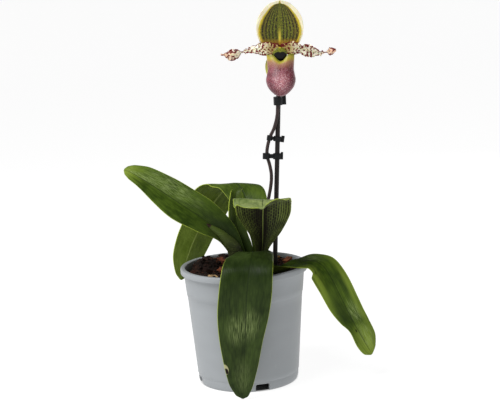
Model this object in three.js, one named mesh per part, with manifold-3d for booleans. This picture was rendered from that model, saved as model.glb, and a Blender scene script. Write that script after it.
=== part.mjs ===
// A slipper orchid (paphiopedilum hybrid) in flower, in a plastic nursery pot.
// Millimetres, +Z up. The pot stands on z = 0, and the flower looks along -Y.
// The parts are placed about the pot's axis, and the whole plant is shifted so that the
// origin is the centre of its footprint.

import * as THREE from "three";
import Module from "manifold-3d";
import { mergeVertices } from "three/addons/utils/BufferGeometryUtils.js";

const wasm = await Module();
wasm.setup();

// ---------------------------------------------------------------- driving dimensions

const GAP = 0.3; // clearance between pieces that touch
const FOOTPRINT_CENTRE = [7.51, -1.6]; // of the whole plant, seen from the pot's axis

const POT = {
  height: 111,
  rimRadius: 60,
  rimDepth: 5.5, // how far the rolled rim hangs down
  rimInner: 55.6,
  wall: 1.4,
  stepHeight: 84.5, // stacking step
  stepInset: 0.5,
  skirtHeight: 9.2,
  skirtRadius: 48.2,
  footRadius: 46.6,
  floorHeight: 6,
};
const NOTCH = { count: 4, width: 13, height: 7, first: -75 }; // first: degrees from the front
const SOIL_TOP = 104;

const STAKE = { radius: 2.3, bottom: [24.4, 8, 20], top: [39.8, 8, 270] };
const STEM_RADIUS = 1.65;
const LEAF_THICKNESS = 1.8;
const PETAL_THICKNESS = 1.1;

// ---------------------------------------------------------------- solids and meshes

const vec = (p) => new THREE.Vector3(...p);

function solidOf(geometry) {
  const bare = geometry.index ? geometry.toNonIndexed() : geometry;
  const points = new THREE.BufferGeometry();
  points.setAttribute("position", bare.getAttribute("position"));
  const merged = mergeVertices(points, 1e-4);
  return new wasm.Manifold(
    new wasm.Mesh({
      numProp: 3,
      vertProperties: merged.attributes.position.array,
      triVerts: new Uint32Array(merged.index.array),
    }),
  );
}

function geometryOf(solid) {
  const mesh = solid.getMesh();
  const stride = mesh.numProp;
  const positions = new Float32Array(mesh.numVert * 3);
  for (let i = 0; i < mesh.numVert; i++) {
    positions.set(mesh.vertProperties.subarray(i * stride, i * stride + 3), i * 3);
  }
  const geometry = new THREE.BufferGeometry();
  geometry.setAttribute("position", new THREE.BufferAttribute(positions, 3));
  geometry.setIndex(new THREE.BufferAttribute(new Uint32Array(mesh.triVerts), 1));
  geometry.computeVertexNormals();
  return geometry;
}

const largest = (solid) =>
  solid.decompose().reduce((best, piece) => (piece.volume() > best.volume() ? piece : best));

// The solid less each of the others, as one body.
const cutBy = (solid, others) =>
  largest(others.reduce((left, other) => left.subtract(other), solid));

function closedGeometry(points, triangles) {
  const geometry = new THREE.BufferGeometry();
  const positions = new Float32Array(points.flatMap((p) => [p.x, p.y, p.z]));
  geometry.setAttribute("position", new THREE.BufferAttribute(positions, 3));
  geometry.setIndex(triangles.flat());
  return geometry;
}

// Rings of points, each with as many points as the next, joined and capped at both ends.
function loft(rings) {
  const around = rings[0].length;
  const points = rings.flat();
  const triangles = [];
  for (let i = 0; i + 1 < rings.length; i++) {
    for (let j = 0; j < around; j++) {
      const a = i * around + j;
      const b = i * around + ((j + 1) % around);
      triangles.push([a, b, b + around], [a, b + around, a + around]);
    }
  }
  for (const [ring, flip] of [[0, true], [rings.length - 1, false]]) {
    const centre = new THREE.Vector3();
    rings[ring].forEach((p) => centre.add(p));
    points.push(centre.divideScalar(around));
    for (let j = 0; j < around; j++) {
      const a = ring * around + j;
      const b = ring * around + ((j + 1) % around);
      triangles.push(flip ? [b, a, points.length - 1] : [a, b, points.length - 1]);
    }
  }
  return closedGeometry(points, triangles);
}

// A round stalk along a smooth line through the points, with a radius at each of them. side is a
// direction that the line never runs along.
function stalk(points, radii, { steps = 12, sides = 10, grow = 0, side = [0, 1, 0] } = {}) {
  const line = new THREE.CatmullRomCurve3(points.map(vec), false, "centripetal");
  const thickness = new THREE.CatmullRomCurve3(
    radii.map((r) => new THREE.Vector3(r, 0, 0)),
    false,
    "catmullrom",
    0.5,
  );
  const rings = [];
  for (let i = 0; i <= steps; i++) {
    const along = line.getTangent(i / steps);
    const across = new THREE.Vector3().crossVectors(vec(side), along).normalize();
    const out = new THREE.Vector3().crossVectors(along, across);
    const centre = line.getPoint(i / steps);
    if (grow) centre.addScaledVector(along, i === 0 ? -grow : i === steps ? grow : 0);
    const radius = thickness.getPoint(i / steps).x + grow;
    rings.push(
      Array.from({ length: sides }, (_, j) => {
        const turn = (2 * Math.PI * j) / sides;
        return centre
          .clone()
          .addScaledVector(across, radius * Math.cos(turn))
          .addScaledVector(out, radius * Math.sin(turn));
      }),
    );
  }
  return solidOf(loft(rings));
}

// A leaf or petal blade. Each station along its midrib says where the midrib is (at), how far
// the blade reaches to the left and right of it, seen on the upper face with the tip up (reach),
// how many degrees those two halves lift towards that face (lift), and where it looks (face).
function blade(stations, { along = 20, across = 6, thickness = LEAF_THICKNESS, grow = 0 } = {}) {
  const midrib = new THREE.CatmullRomCurve3(
    stations.map((s) => vec(s.at)),
    false,
    "centripetal",
  );
  const through = (values) => new THREE.CatmullRomCurve3(values, false, "catmullrom", 0.5);
  const reaches = through(stations.map((s) => new THREE.Vector3(...s.reach, 0)));
  const lifts = through(stations.map((s) => new THREE.Vector3(...s.lift, 0)));
  const faces = through(stations.map((s) => vec(s.face).normalize()));
  const upper = [];
  const lower = [];
  for (let i = 0; i <= along; i++) {
    const u = i / along;
    const centre = midrib.getPoint(u);
    const forward = midrib.getTangent(u);
    if (grow) centre.addScaledVector(forward, i === 0 ? -grow : i === along ? grow : 0);
    const up = faces.getPoint(u);
    up.addScaledVector(forward, -up.dot(forward)).normalize();
    const right = new THREE.Vector3().crossVectors(forward, up);
    const widths = reaches.getPoint(u);
    const angles = lifts.getPoint(u);
    for (let j = 0; j <= across; j++) {
      const v = (2 * j) / across - 1;
      const reach = Math.abs(v) * (Math.max(v < 0 ? widths.x : widths.y, 0.4) + grow);
      const angle = THREE.MathUtils.degToRad(v < 0 ? angles.x : angles.y);
      const point = centre
        .clone()
        .addScaledVector(right, Math.sign(v) * reach * Math.cos(angle))
        .addScaledVector(up, reach * Math.sin(angle));
      const slope = v === 0 ? 0 : angle;
      const normal = up
        .clone()
        .multiplyScalar(Math.cos(slope))
        .addScaledVector(right, -Math.sign(v) * Math.sin(slope))
        .normalize();
      const half = (thickness / 2) * (1 - 0.5 * v * v) + grow;
      upper.push(point.clone().addScaledVector(normal, half));
      lower.push(point.clone().addScaledVector(normal, -half));
    }
  }
  const row = across + 1;
  const under = upper.length;
  const triangles = [];
  const quad = (a, b, c, d) => triangles.push([a, b, c], [a, c, d]);
  for (let i = 0; i < along; i++) {
    for (let j = 0; j < across; j++) {
      const a = i * row + j;
      quad(a, a + 1, a + row + 1, a + row);
      quad(under + a, under + a + row, under + a + row + 1, under + a + 1);
    }
    const left = i * row;
    const right = i * row + across;
    quad(left, left + row, under + left + row, under + left);
    quad(right, under + right, under + right + row, right + row);
  }
  const tip = along * row;
  for (let j = 0; j < across; j++) {
    quad(j, under + j, under + j + 1, j + 1);
    quad(tip + j, tip + j + 1, under + tip + j + 1, under + tip + j);
  }
  return solidOf(closedGeometry([...upper, ...lower], triangles));
}

// ---------------------------------------------------------------- pot and compost

const POT_SIDES = 48;

// The wall's outer radius at a height between the skirt and the rim.
function wallRadius(z) {
  const top = POT.height - POT.rimDepth;
  const t = (z - POT.skirtHeight) / (top - POT.skirtHeight);
  return POT.skirtRadius + (POT.rimInner + POT.wall - POT.skirtRadius) * t;
}

function potSolid() {
  const top = POT.height - POT.rimDepth;
  const bead = 1; // radius of the rim's rounded edges
  const outline = [
    [0, POT.floorHeight],
    [POT.footRadius - POT.wall, POT.floorHeight],
    [POT.footRadius - POT.wall, 0],
    [POT.footRadius, 0],
    [POT.skirtRadius - 0.5, 3],
    [POT.skirtRadius - 0.4, POT.skirtHeight],
    [wallRadius(POT.skirtHeight) + 0.2, POT.skirtHeight + 0.4],
    [wallRadius(POT.stepHeight) - POT.stepInset, POT.stepHeight],
    [wallRadius(POT.stepHeight), POT.stepHeight + 0.6],
    [wallRadius(top), top],
    [POT.rimRadius, top],
    [POT.rimRadius, POT.height - bead],
    [POT.rimRadius - bead, POT.height],
    [POT.rimInner + bead, POT.height],
    [POT.rimInner, POT.height - bead],
    [wallRadius(POT.stepHeight) - POT.wall, POT.stepHeight],
    [wallRadius(POT.skirtHeight) - POT.wall, POT.skirtHeight],
    [wallRadius(POT.skirtHeight) - POT.wall - 1, POT.floorHeight + POT.wall],
    [0, POT.floorHeight + POT.wall],
  ];
  const body = solidOf(
    new THREE.LatheGeometry(
      outline.map(([r, z]) => new THREE.Vector2(r, z)),
      POT_SIDES,
    ).rotateX(Math.PI / 2),
  );
  const cuts = [];
  for (let i = 0; i < NOTCH.count; i++) {
    const turn = THREE.MathUtils.degToRad(NOTCH.first + (i * 360) / NOTCH.count - 90);
    const notch = new THREE.BoxGeometry(12, NOTCH.width, 2 * NOTCH.height);
    cuts.push(solidOf(notch.translate(POT.footRadius + 1, 0, 0).rotateZ(turn)));
    const drain = new THREE.BoxGeometry(6, NOTCH.width - 5, 10);
    cuts.push(solidOf(drain.translate(POT.footRadius - 5, 0, POT.floorHeight).rotateZ(turn)));
  }
  return cutBy(body, cuts);
}

// Lumps of bark that stand out of the compost: centre, and how far they reach and rise.
const LUMPS = [
  { at: [-36, 24], reach: 12.5, rise: 10.5 },
  { at: [-18, 37], reach: 10, rise: 9 },
  { at: [-42, -12], reach: 9, rise: 3 },
  { at: [38, 30], reach: 13, rise: 4 },
  { at: [16, 40], reach: 11, rise: 4 },
  { at: [-20, -34], reach: 11, rise: 2.5 },
  { at: [30, -36], reach: 10, rise: 2 },
  { at: [10, 4], reach: 16, rise: 6 },
];

function compostHeight(x, y) {
  const grain = 0.7 * Math.sin(0.43 * x + 1.3) * Math.cos(0.39 * y - 0.6);
  return LUMPS.reduce((height, { at, reach, rise }) => {
    const distance = Math.hypot(x - at[0], y - at[1]) / reach;
    return height + rise * Math.exp(-(distance ** 4));
  }, SOIL_TOP + grain);
}

function compostSolid() {
  const bottom = POT.floorHeight + POT.wall + GAP;
  const around = 32;
  const ring = (radius, height) =>
    Array.from({ length: around }, (_, j) => {
      const turn = (2 * Math.PI * j) / around;
      const [x, y] = [radius * Math.cos(turn), radius * Math.sin(turn)];
      return new THREE.Vector3(x, y, height ?? compostHeight(x, y));
    });
  const fit = (z) => wallRadius(z) - POT.wall - POT.stepInset - 2 * GAP;
  const edge = fit(SOIL_TOP - 6);
  const rings = [
    ring(fit(POT.skirtHeight) - 1, bottom),
    ring(fit(POT.skirtHeight), POT.skirtHeight + 1),
    ring(fit(POT.stepHeight), POT.stepHeight),
    ...[1, 0.84, 0.68, 0.52, 0.36, 0.18].map((share) => ring(edge * share)),
  ];
  return solidOf(loft(rings));
}

// Bark chips lying on the compost: centre, size along, across and up, and the way they turn.
const CHIPS = [
  { at: [-33, 4], size: [13, 9, 6], turn: 20, tilt: 25 },
  { at: [-21, 27], size: [10, 8, 6], turn: -35, tilt: 20 },
  { at: [-21, 5], size: [9, 8, 6], turn: 60, tilt: -15 },
  { at: [-29.5, -25], size: [10, 7, 6], turn: 10, tilt: 8 },
  { at: [-45, -5], size: [8, 7, 5], turn: 75, tilt: 12 },
  { at: [-5, 42], size: [12, 8, 5], turn: 15, tilt: 10 },
  { at: [42.5, 23], size: [9, 7, 5], turn: 40, tilt: -22 },
  { at: [32, 36], size: [8, 7, 5], turn: -15, tilt: 18 },
  { at: [-6, -42], size: [11, 7, 5], turn: 5, tilt: -8 },
  { at: [12, -31], size: [9, 7, 5], turn: -50, tilt: 10 },
];

function chipSolid({ at, size, turn, tilt }, grow) {
  const chip = new THREE.IcosahedronGeometry(0.5, 1);
  const corners = chip.getAttribute("position");
  for (let i = 0; i < corners.count; i++) {
    const p = new THREE.Vector3().fromBufferAttribute(corners, i);
    const square = (c) => Math.sign(c) * Math.abs(2 * c) ** 0.55 * 0.5;
    corners.setXYZ(i, square(p.x), square(p.y), square(p.z));
  }
  chip.scale(...size.map((s) => s + 2 * grow));
  chip.rotateY(THREE.MathUtils.degToRad(tilt));
  chip.rotateZ(THREE.MathUtils.degToRad(turn));
  chip.translate(at[0], at[1], compostHeight(...at) + 0.6);
  return solidOf(chip);
}

// ---------------------------------------------------------------- crown, stake and stem

const CROWN = { points: [[9, 5, 90], [9, 5, 103], [9, 4, 112], [9.5, 4, 117]], radii: [8, 9, 8, 5] };

const STEM = [
  [13, 5, 116],
  [16.2, 5, 124],
  [18.9, 5.4, 132.4],
  [22.1, 6.2, 151.4],
  [24.8, 7.2, 165.5],
  [27.4, 7.9, 176],
  [29.4, 8, 186],
  [29.9, 8, 195],
  [28.6, 8, 204.4],
  [26.8, 8, 211.6],
  [26.7, 8, 216.5],
  [27.8, 7.6, 222.5],
  [30.4, 6.6, 230.5],
  [34.2, 4.7, 238.2],
  [37, 3.6, 247.5],
  [38.7, 3.5, 259.5],
  [39.6, 3.8, 272],
];

const OVARY = {
  points: [[39.7, 3.9, 273], [40.4, 6.4, 282], [41.6, 8.4, 293], [42.2, 7, 302], [42.3, 2.6, 307.6]],
  radii: [1.9, 2.4, 2.7, 2.6, 2.4],
};

const COLUMN = {
  points: [[42.3, 1.9, 308], [42.3, -4, 308.2], [42.3, -10, 307.6], [42.3, -13.2, 306.6]],
  radii: [3.4, 4.2, 3.4, 2.6],
};

const stakeX = (z) =>
  STAKE.bottom[0] +
  ((STAKE.top[0] - STAKE.bottom[0]) * (z - STAKE.bottom[2])) / (STAKE.top[2] - STAKE.bottom[2]);

const stakeSolid = (grow = 0) =>
  stalk([STAKE.bottom, STAKE.top], [STAKE.radius, STAKE.radius], { steps: 1, sides: 14, grow });

const stemSolid = (grow = 0) =>
  stalk(STEM, STEM.map(() => STEM_RADIUS), { steps: 36, sides: 8, grow });

// A double-ring clip: a flat plate with rounded ends, pushed over the stake and the stem.
// stem: where the stem passes, seen from the stake; tab: a finger tab on the stake's side.
const CLIPS = {
  lower_clip: { z: 211.4, height: 5.4, stem: [-10.3, 0], rings: [3.9, 3.4], tilt: 0, tab: 2.2 },
  middle_clip: { z: 227.8, height: 4.6, stem: [-7.6, -0.8], rings: [3.9, 2.6], tilt: 7, tab: 3 },
  upper_clip: { z: 263.6, height: 7.4, stem: [-0.4, -4.4], rings: [4.6, 4], tilt: -4, tab: 3.2 },
};

function clipSolid({ z, height, stem, rings, tilt, tab }) {
  const outline = (radius, centre) =>
    new THREE.Shape().absarc(centre[0], centre[1], radius, 0, 2 * Math.PI);
  const plate = (shape, depth) =>
    new THREE.ExtrudeGeometry(shape, { depth, bevelEnabled: false, curveSegments: 12 });
  const reach = Math.hypot(...stem);
  const bridge = new THREE.BoxGeometry(reach, 3, height - 1.6);
  bridge.rotateZ(Math.atan2(stem[1], stem[0])).translate(stem[0] / 2, stem[1] / 2, height / 2);
  const finger = new THREE.BoxGeometry(tab, 2.6, height + 1.4);
  finger.translate(rings[0] + tab / 2 - 0.6, 0.4, height / 2 + 0.5);
  const body = [
    solidOf(plate(outline(rings[0], [0, 0]), height)),
    solidOf(plate(outline(rings[1], stem), height)),
    solidOf(bridge),
    solidOf(finger),
  ].reduce((sum, piece) => sum.add(piece));
  const lean = Math.atan2(STAKE.top[0] - STAKE.bottom[0], STAKE.top[2] - STAKE.bottom[2]);
  const placed = geometryOf(body)
    .translate(0, 0, -height / 2)
    .rotateY(lean + THREE.MathUtils.degToRad(tilt))
    .translate(stakeX(z), STAKE.bottom[1], z);
  return cutBy(solidOf(placed), [stakeSolid(GAP), stemSolid(GAP)]);
}

// ---------------------------------------------------------------- leaves

const LEAVES = {
  left_leaf: [
    { at: [1, 1, 106], reach: [7, 7], lift: [38, 38], face: [0.5, -0.5, 0.7] },
    { at: [-7, 0, 120], reach: [8, 10], lift: [34, 34], face: [0.3, -0.7, 0.6] },
    { at: [-18, -3, 139.5], reach: [9.5, 15], lift: [26, 26], face: [0.2, -0.8, 0.55] },
    { at: [-35.2, -8, 156.7], reach: [15.5, 19], lift: [16, 16], face: [0.15, -0.85, 0.5] },
    { at: [-56.4, -14, 173.9], reach: [18.5, 18.5], lift: [11, 11], face: [0.15, -0.85, 0.5] },
    { at: [-74, -18, 187.6], reach: [14.5, 17], lift: [9, 9], face: [0.15, -0.85, 0.5] },
    { at: [-90, -21, 199.8], reach: [9, 13.5], lift: [8, 8], face: [0.15, -0.85, 0.5] },
    { at: [-99.5, -22.2, 206.2], reach: [6.6, 8.6], lift: [6, 6], face: [0.15, -0.85, 0.5] },
    { at: [-103.8, -22.8, 208.6], reach: [4, 4.4], lift: [4, 4], face: [0.15, -0.85, 0.5] },
    { at: [-105.6, -23, 209.4], reach: [0.6, 0.6], lift: [4, 4], face: [0.15, -0.85, 0.5] },
  ],
  front_leaf: [
    { at: [11, -3, 106], reach: [7, 7], lift: [40, 40], face: [0, 0.9, 0.5] },
    { at: [11, -13, 120.5], reach: [10, 11], lift: [24, 24], face: [0, 0.7, 0.7] },
    { at: [10, -26, 127.2], reach: [17, 20], lift: [0, -4], face: [0, 0.15, 1] },
    { at: [8.6, -38, 127.8], reach: [19, 24], lift: [-2, -7], face: [0, -0.1, 1] },
    { at: [7, -52, 125.6], reach: [20, 24.5], lift: [-1, -5], face: [0, -0.4, 1] },
    { at: [5, -63, 118], reach: [21, 25], lift: [3, 1], face: [0, -1, 0.6] },
    { at: [1.8, -67.5, 100], reach: [22.5, 25.5], lift: [5, 5], face: [0, -1, 0.1] },
    { at: [-0.2, -68.5, 78], reach: [20.5, 26], lift: [5, 5], face: [0, -1, 0] },
    { at: [-1.8, -69, 54], reach: [15.5, 23.5], lift: [6, 6], face: [0, -1, 0] },
    { at: [-3.8, -69, 32], reach: [12.5, 18.5], lift: [7, 7], face: [0, -1, 0] },
    { at: [-5, -68.8, 13], reach: [8, 13], lift: [6, 6], face: [0, -1, 0] },
    { at: [-6.2, -68.5, 4], reach: [4.6, 6.6], lift: [3, 3], face: [0, -1, 0] },
    { at: [-6.6, -68.4, 1.4], reach: [0.6, 0.6], lift: [3, 3], face: [0, -1, 0] },
  ],
  right_leaf: [
    { at: [17, 1, 106], reach: [6, 7], lift: [44, 50], face: [-0.3, 0.3, 1] },
    { at: [26, -14, 105.5], reach: [8, 10], lift: [46, 58], face: [-0.2, 0.1, 1] },
    { at: [33, -20, 106.2], reach: [8, 10], lift: [44, 56], face: [-0.1, 0, 1] },
    { at: [40, -22, 109], reach: [8, 9.5], lift: [38, 34], face: [-0.2, 0, 1] },
    { at: [46.5, -22, 112.4], reach: [8, 9], lift: [28, 0], face: [-0.2, 0, 1] },
    { at: [53, -21, 114.4], reach: [9, 9], lift: [12, -22], face: [0, -0.05, 1] },
    { at: [59.5, -18.5, 114.8], reach: [11, 9.5], lift: [-4, -34], face: [0.1, -0.3, 1] },
    { at: [68, -16.5, 113], reach: [13, 15], lift: [-6, -24], face: [0.3, -0.6, 0.8] },
    { at: [75.5, -17.5, 107.3], reach: [14, 17.5], lift: [4, 0], face: [0.3, -0.85, 0.35] },
    { at: [82.3, -19.5, 95], reach: [15, 18.5], lift: [9, 9], face: [0.3, -0.85, 0.3] },
    { at: [91, -21, 75], reach: [15.5, 17], lift: [9, 9], face: [0.3, -0.85, 0.3] },
    { at: [98, -22, 59.5], reach: [15, 12.5], lift: [9, 9], face: [0.3, -0.85, 0.3] },
    { at: [102.5, -23, 50], reach: [15, 8.5], lift: [9, 9], face: [0.3, -0.85, 0.3] },
    { at: [109, -24, 37.5], reach: [13.5, 9.5], lift: [9, 9], face: [0.3, -0.85, 0.3] },
    { at: [114, -24.4, 28], reach: [7.5, 7], lift: [6, 6], face: [0.3, -0.85, 0.3] },
    { at: [116.2, -24.6, 24], reach: [0.8, 0.8], lift: [4, 4], face: [0.3, -0.85, 0.3] },
  ],
  back_leaf: [
    { at: [12.5, 8, 106], reach: [6, 6], lift: [44, 44], face: [0, -0.9, 0.4] },
    { at: [13.5, 13, 126], reach: [6, 7], lift: [40, 40], face: [0, -0.9, 0.4] },
    { at: [10.5, 23, 148], reach: [9, 15], lift: [20, 20], face: [0, -0.85, 0.5] },
    { at: [4.5, 36, 169], reach: [16, 21], lift: [6, 4], face: [0, -0.6, 0.8] },
    { at: [-3, 49, 180.2], reach: [21, 22], lift: [0, -12], face: [-0.05, 0, 1] },
    { at: [-12, 60, 177.5], reach: [26, 20], lift: [-3, -4], face: [-0.3, 0.6, 0.75] },
    { at: [-26.5, 66, 161], reach: [25, 19], lift: [2, 2], face: [-0.3, 0.9, 0.2] },
    { at: [-40, 64.5, 139.5], reach: [19, 19], lift: [5, 5], face: [-0.3, 0.9, 0.1] },
    { at: [-50, 61, 121], reach: [17.5, 18.5], lift: [7, 7], face: [-0.3, 0.9, 0.1] },
    { at: [-57, 55.5, 104.5], reach: [14.5, 15], lift: [7, 7], face: [-0.3, 0.9, 0.1] },
    { at: [-61.5, 49, 92], reach: [7, 6], lift: [4, 4], face: [-0.3, 0.9, 0.1] },
    { at: [-62.6, 46.5, 88], reach: [0.8, 0.8], lift: [3, 3], face: [-0.3, 0.9, 0.1] },
  ],
  centre_leaf: [
    { at: [5, 6, 110], reach: [6, 6], lift: [44, 44], face: [0.1, -0.9, 0.2] },
    { at: [1, 6, 126], reach: [10, 8.6], lift: [36, 36], face: [0.2, -0.95, 0.2] },
    { at: [-4, 7, 142], reach: [11.5, 8.6], lift: [30, 30], face: [0.3, -0.9, 0.2] },
    { at: [-6, 9, 158], reach: [9.5, 10.5], lift: [26, 26], face: [0.4, -0.9, 0.2] },
    { at: [-5.5, 12, 171], reach: [7, 8], lift: [20, 20], face: [0.4, -0.8, 0.4] },
    { at: [-3, 17, 179], reach: [4.5, 5], lift: [10, 10], face: [0.2, -0.3, 1] },
    { at: [1.5, 22, 180.5], reach: [1.5, 1.5], lift: [4, 4], face: [0.2, 0.2, 1] },
  ],
  dark_leaf: [
    { at: [16, 0, 108], reach: [5, 5], lift: [40, 40], face: [0, 0.95, 0.2] },
    { at: [17.6, -6, 124], reach: [7.5, 7], lift: [30, 30], face: [0, 0.9, 0.3] },
    { at: [18.8, -15, 140], reach: [18.5, 13.5], lift: [18, 18], face: [0, 0.85, 0.5] },
    { at: [19.4, -27, 158], reach: [26, 24], lift: [13, 12], face: [0, 0.8, 0.6] },
    { at: [20, -40, 173], reach: [26.5, 26], lift: [9, 8], face: [0, 0.5, 0.85] },
    { at: [20, -53, 180], reach: [25.5, 27], lift: [-3, 4], face: [0, 0, 1] },
    { at: [19.5, -64, 179.5], reach: [25, 26], lift: [5, -4], face: [-0.05, -0.2, 1] },
    { at: [19, -71, 178], reach: [22, 21], lift: [15, 6], face: [-0.05, -0.3, 1] },
    { at: [18.8, -74.6, 177], reach: [15, 13], lift: [34, 4], face: [-0.05, -0.3, 1] },
    { at: [18.7, -76, 176.6], reach: [3, 3], lift: [36, 0], face: [-0.05, -0.3, 1] },
  ],
};

// The left leaf's base is rolled into a thick round sheath that runs out on its face.
const LEFT_SHEATH = {
  points: [
    [-1, 1, 108],
    [-6.5, -2, 119.6],
    [-8.9, -4, 127.9],
    [-14.2, -6, 135.3],
    [-20.4, -7.5, 142.5],
    [-27.2, -8.5, 148.3],
    [-33, -9, 153],
  ],
  radii: [7, 7.2, 6.8, 5.6, 4.2, 2.8, 1],
};

function leafSolid(name, grow = 0) {
  const leaf = blade(LEAVES[name], { along: 30, grow });
  if (name !== "left_leaf") return leaf;
  return leaf.add(stalk(LEFT_SHEATH.points, LEFT_SHEATH.radii, { steps: 12, sides: 12, grow }));
}

// ---------------------------------------------------------------- flower

const DORSAL_SEPAL = [
  { at: [42.4, 0.6, 311.5], reach: [6, 6], lift: [10, 10], face: [0, -1, 0.1] },
  { at: [42.5, 0, 316], reach: [16.5, 16.5], lift: [10, 10], face: [0, -1, 0.05] },
  { at: [42.8, -0.5, 324], reach: [21, 21], lift: [10, 10], face: [0, -1, 0] },
  { at: [43.1, -1.2, 333], reach: [22, 22], lift: [10, 10], face: [0, -1, 0] },
  { at: [43.4, -2.5, 342], reach: [20, 20], lift: [9, 9], face: [0, -1, -0.1] },
  { at: [43.6, -4.5, 350], reach: [14.5, 14.5], lift: [8, 8], face: [0, -1, -0.3] },
  { at: [43.8, -6.2, 354.4], reach: [8, 8], lift: [5, 5], face: [0, -1, -0.4] },
  { at: [43.8, -7, 356], reach: [2, 2], lift: [2, 2], face: [0, -1, -0.4] },
];

const SYNSEPAL = [
  { at: [41.6, 0.6, 306], reach: [7, 6], lift: [6, 6], face: [0, -1, 0] },
  { at: [40.6, 0, 302.5], reach: [12, 10], lift: [8, 8], face: [0, -1, -0.1] },
  { at: [40, -1.6, 296], reach: [13, 12], lift: [8, 8], face: [0, -1, -0.2] },
  { at: [40, -2, 287], reach: [10, 10], lift: [8, 8], face: [0, -1, 0.1] },
  { at: [40.3, -0.8, 279.5], reach: [5, 5], lift: [6, 6], face: [0, -1, 0.2] },
  { at: [40.4, -0.4, 276.6], reach: [1, 1], lift: [4, 4], face: [0, -1, 0.2] },
];

// A petal twists as it runs out; turn is how far its face has rolled from facing forward.
const petalFace = (turn) => {
  const angle = THREE.MathUtils.degToRad(turn);
  return [0, -Math.cos(angle), Math.sin(angle)];
};

const LEFT_PETAL = [
  { at: [41.5, -3.8, 313.6], half: 3.6, turn: 8 },
  { at: [37, -4.8, 312.4], half: 5.4, turn: 10 },
  { at: [30, -6.6, 312.4], half: 6.5, turn: 12 },
  { at: [21.5, -7.6, 312.6], half: 5.4, turn: 36 },
  { at: [13.5, -8.4, 311.6], half: 4.3, turn: 62 },
  { at: [8.2, -8.8, 310.6], half: 4.2, turn: 84 },
  { at: [2.5, -9, 309.4], half: 5.2, turn: 150 },
  { at: [-3.4, -9.4, 308.6], half: 5.2, turn: 190 },
  { at: [-8.4, -9.8, 309.2], half: 2.6, turn: 240 },
  { at: [-12, -10, 309.8], half: 1.6, turn: 262 },
];

const RIGHT_PETAL = [
  { at: [43.1, -3.8, 313.6], half: 3.6, turn: -8 },
  { at: [48, -4.8, 312.4], half: 5.4, turn: -10 },
  { at: [55, -6.6, 312.4], half: 6.4, turn: -10 },
  { at: [61.5, -7.6, 311.6], half: 5.4, turn: -40 },
  { at: [67.5, -8.4, 309.8], half: 6.2, turn: -15 },
  { at: [74.4, -8.8, 308.2], half: 5.4, turn: -40 },
  { at: [80, -9, 307.4], half: 4.4, turn: -66 },
  { at: [84.2, -9.2, 307.6], half: 3, turn: -90 },
  { at: [89, -9.4, 308.4], half: 3.4, turn: -160 },
  { at: [93.4, -9.8, 309.2], half: 1, turn: -200 },
];

const petalSolid = (stations, grow = 0) =>
  blade(
    stations.map(({ at, half, turn }) => ({
      at,
      reach: [half, half],
      lift: [6, 6],
      face: petalFace(turn),
    })),
    { along: 24, across: 4, thickness: PETAL_THICKNESS, grow },
  );

// The pouch, as level sections from its mouth down to its toe.
const POUCH = [
  { z: 303.5, x: 42.4, y: -11.5, halfX: 11.4, halfY: 6.4 },
  { z: 300, x: 42.3, y: -12.6, halfX: 11.7, halfY: 8.2 },
  { z: 294, x: 42.1, y: -14.2, halfX: 11.9, halfY: 9.6 },
  { z: 289, x: 41.8, y: -16, halfX: 12.9, halfY: 11 },
  { z: 284.5, x: 41.6, y: -17.4, halfX: 13.6, halfY: 12.2 },
  { z: 279, x: 41.5, y: -18.6, halfX: 12.2, halfY: 11.4 },
  { z: 274.5, x: 41.3, y: -19, halfX: 9, halfY: 8.8 },
  { z: 271.2, x: 41.2, y: -19, halfX: 5, halfY: 5.2 },
  { z: 269.8, x: 41.2, y: -19, halfX: 1.6, halfY: 1.6 },
];
const POUCH_WALL = 1.3;
const POUCH_EAR = 4.5; // how far its mouth rises at each side
const POUCH_DIP = 1.7; // and how far it dips in front

const mouthEdge = (turn) =>
  POUCH_EAR * Math.cos(turn) ** 4 - POUCH_DIP * Math.max(0, -Math.sin(turn)) ** 2;

function pouchShape(inset, lift) {
  const rings = POUCH.map(({ z, x, y, halfX, halfY }, i) => {
    const height = i === 0 ? z + lift : z + (i >= POUCH.length - 3 ? inset : 0);
    const follow = [1, 0.6, 0.15][i] ?? 0; // how closely this section follows the mouth's edge
    return Array.from({ length: 24 }, (_, j) => {
      const turn = (2 * Math.PI * j) / 24;
      const reach = (half) => Math.max(half - inset, 0.4);
      return new THREE.Vector3(
        x + reach(halfX) * Math.cos(turn),
        y + reach(halfY) * Math.sin(turn),
        height + follow * mouthEdge(turn),
      );
    });
  });
  return solidOf(loft(rings.reverse()));
}

const pouchSolid = () => pouchShape(0, 0).subtract(pouchShape(POUCH_WALL, 2));

// The staminode: a shield, notched below, on the end of the column.
// at: the middle of its front face; tilt: degrees that its face stands up from lying flat.
const STAMINODE = { at: [41.9, -13.9, 307.9], halfWidth: 6.8, halfHeight: 6.2, depth: 2.2, tilt: 82 };

function staminodeSolid() {
  const { at, halfWidth, halfHeight, depth, tilt } = STAMINODE;
  const [shoulder, hip, top] = [1.5 * halfWidth, 1.2 * halfWidth, halfHeight];
  const [notch, low] = [-0.8 * halfHeight, -1.3 * halfHeight];
  const shape = new THREE.Shape();
  shape.moveTo(0, notch);
  shape.bezierCurveTo(hip, low, shoulder, top, 0, top);
  shape.bezierCurveTo(-shoulder, top, -hip, low, 0, notch);
  const shield = new THREE.ExtrudeGeometry(shape, {
    depth,
    bevelEnabled: false,
    curveSegments: 12,
  });
  shield.rotateX(THREE.MathUtils.degToRad(tilt));
  shield.translate(...at);
  return solidOf(shield);
}

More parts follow.
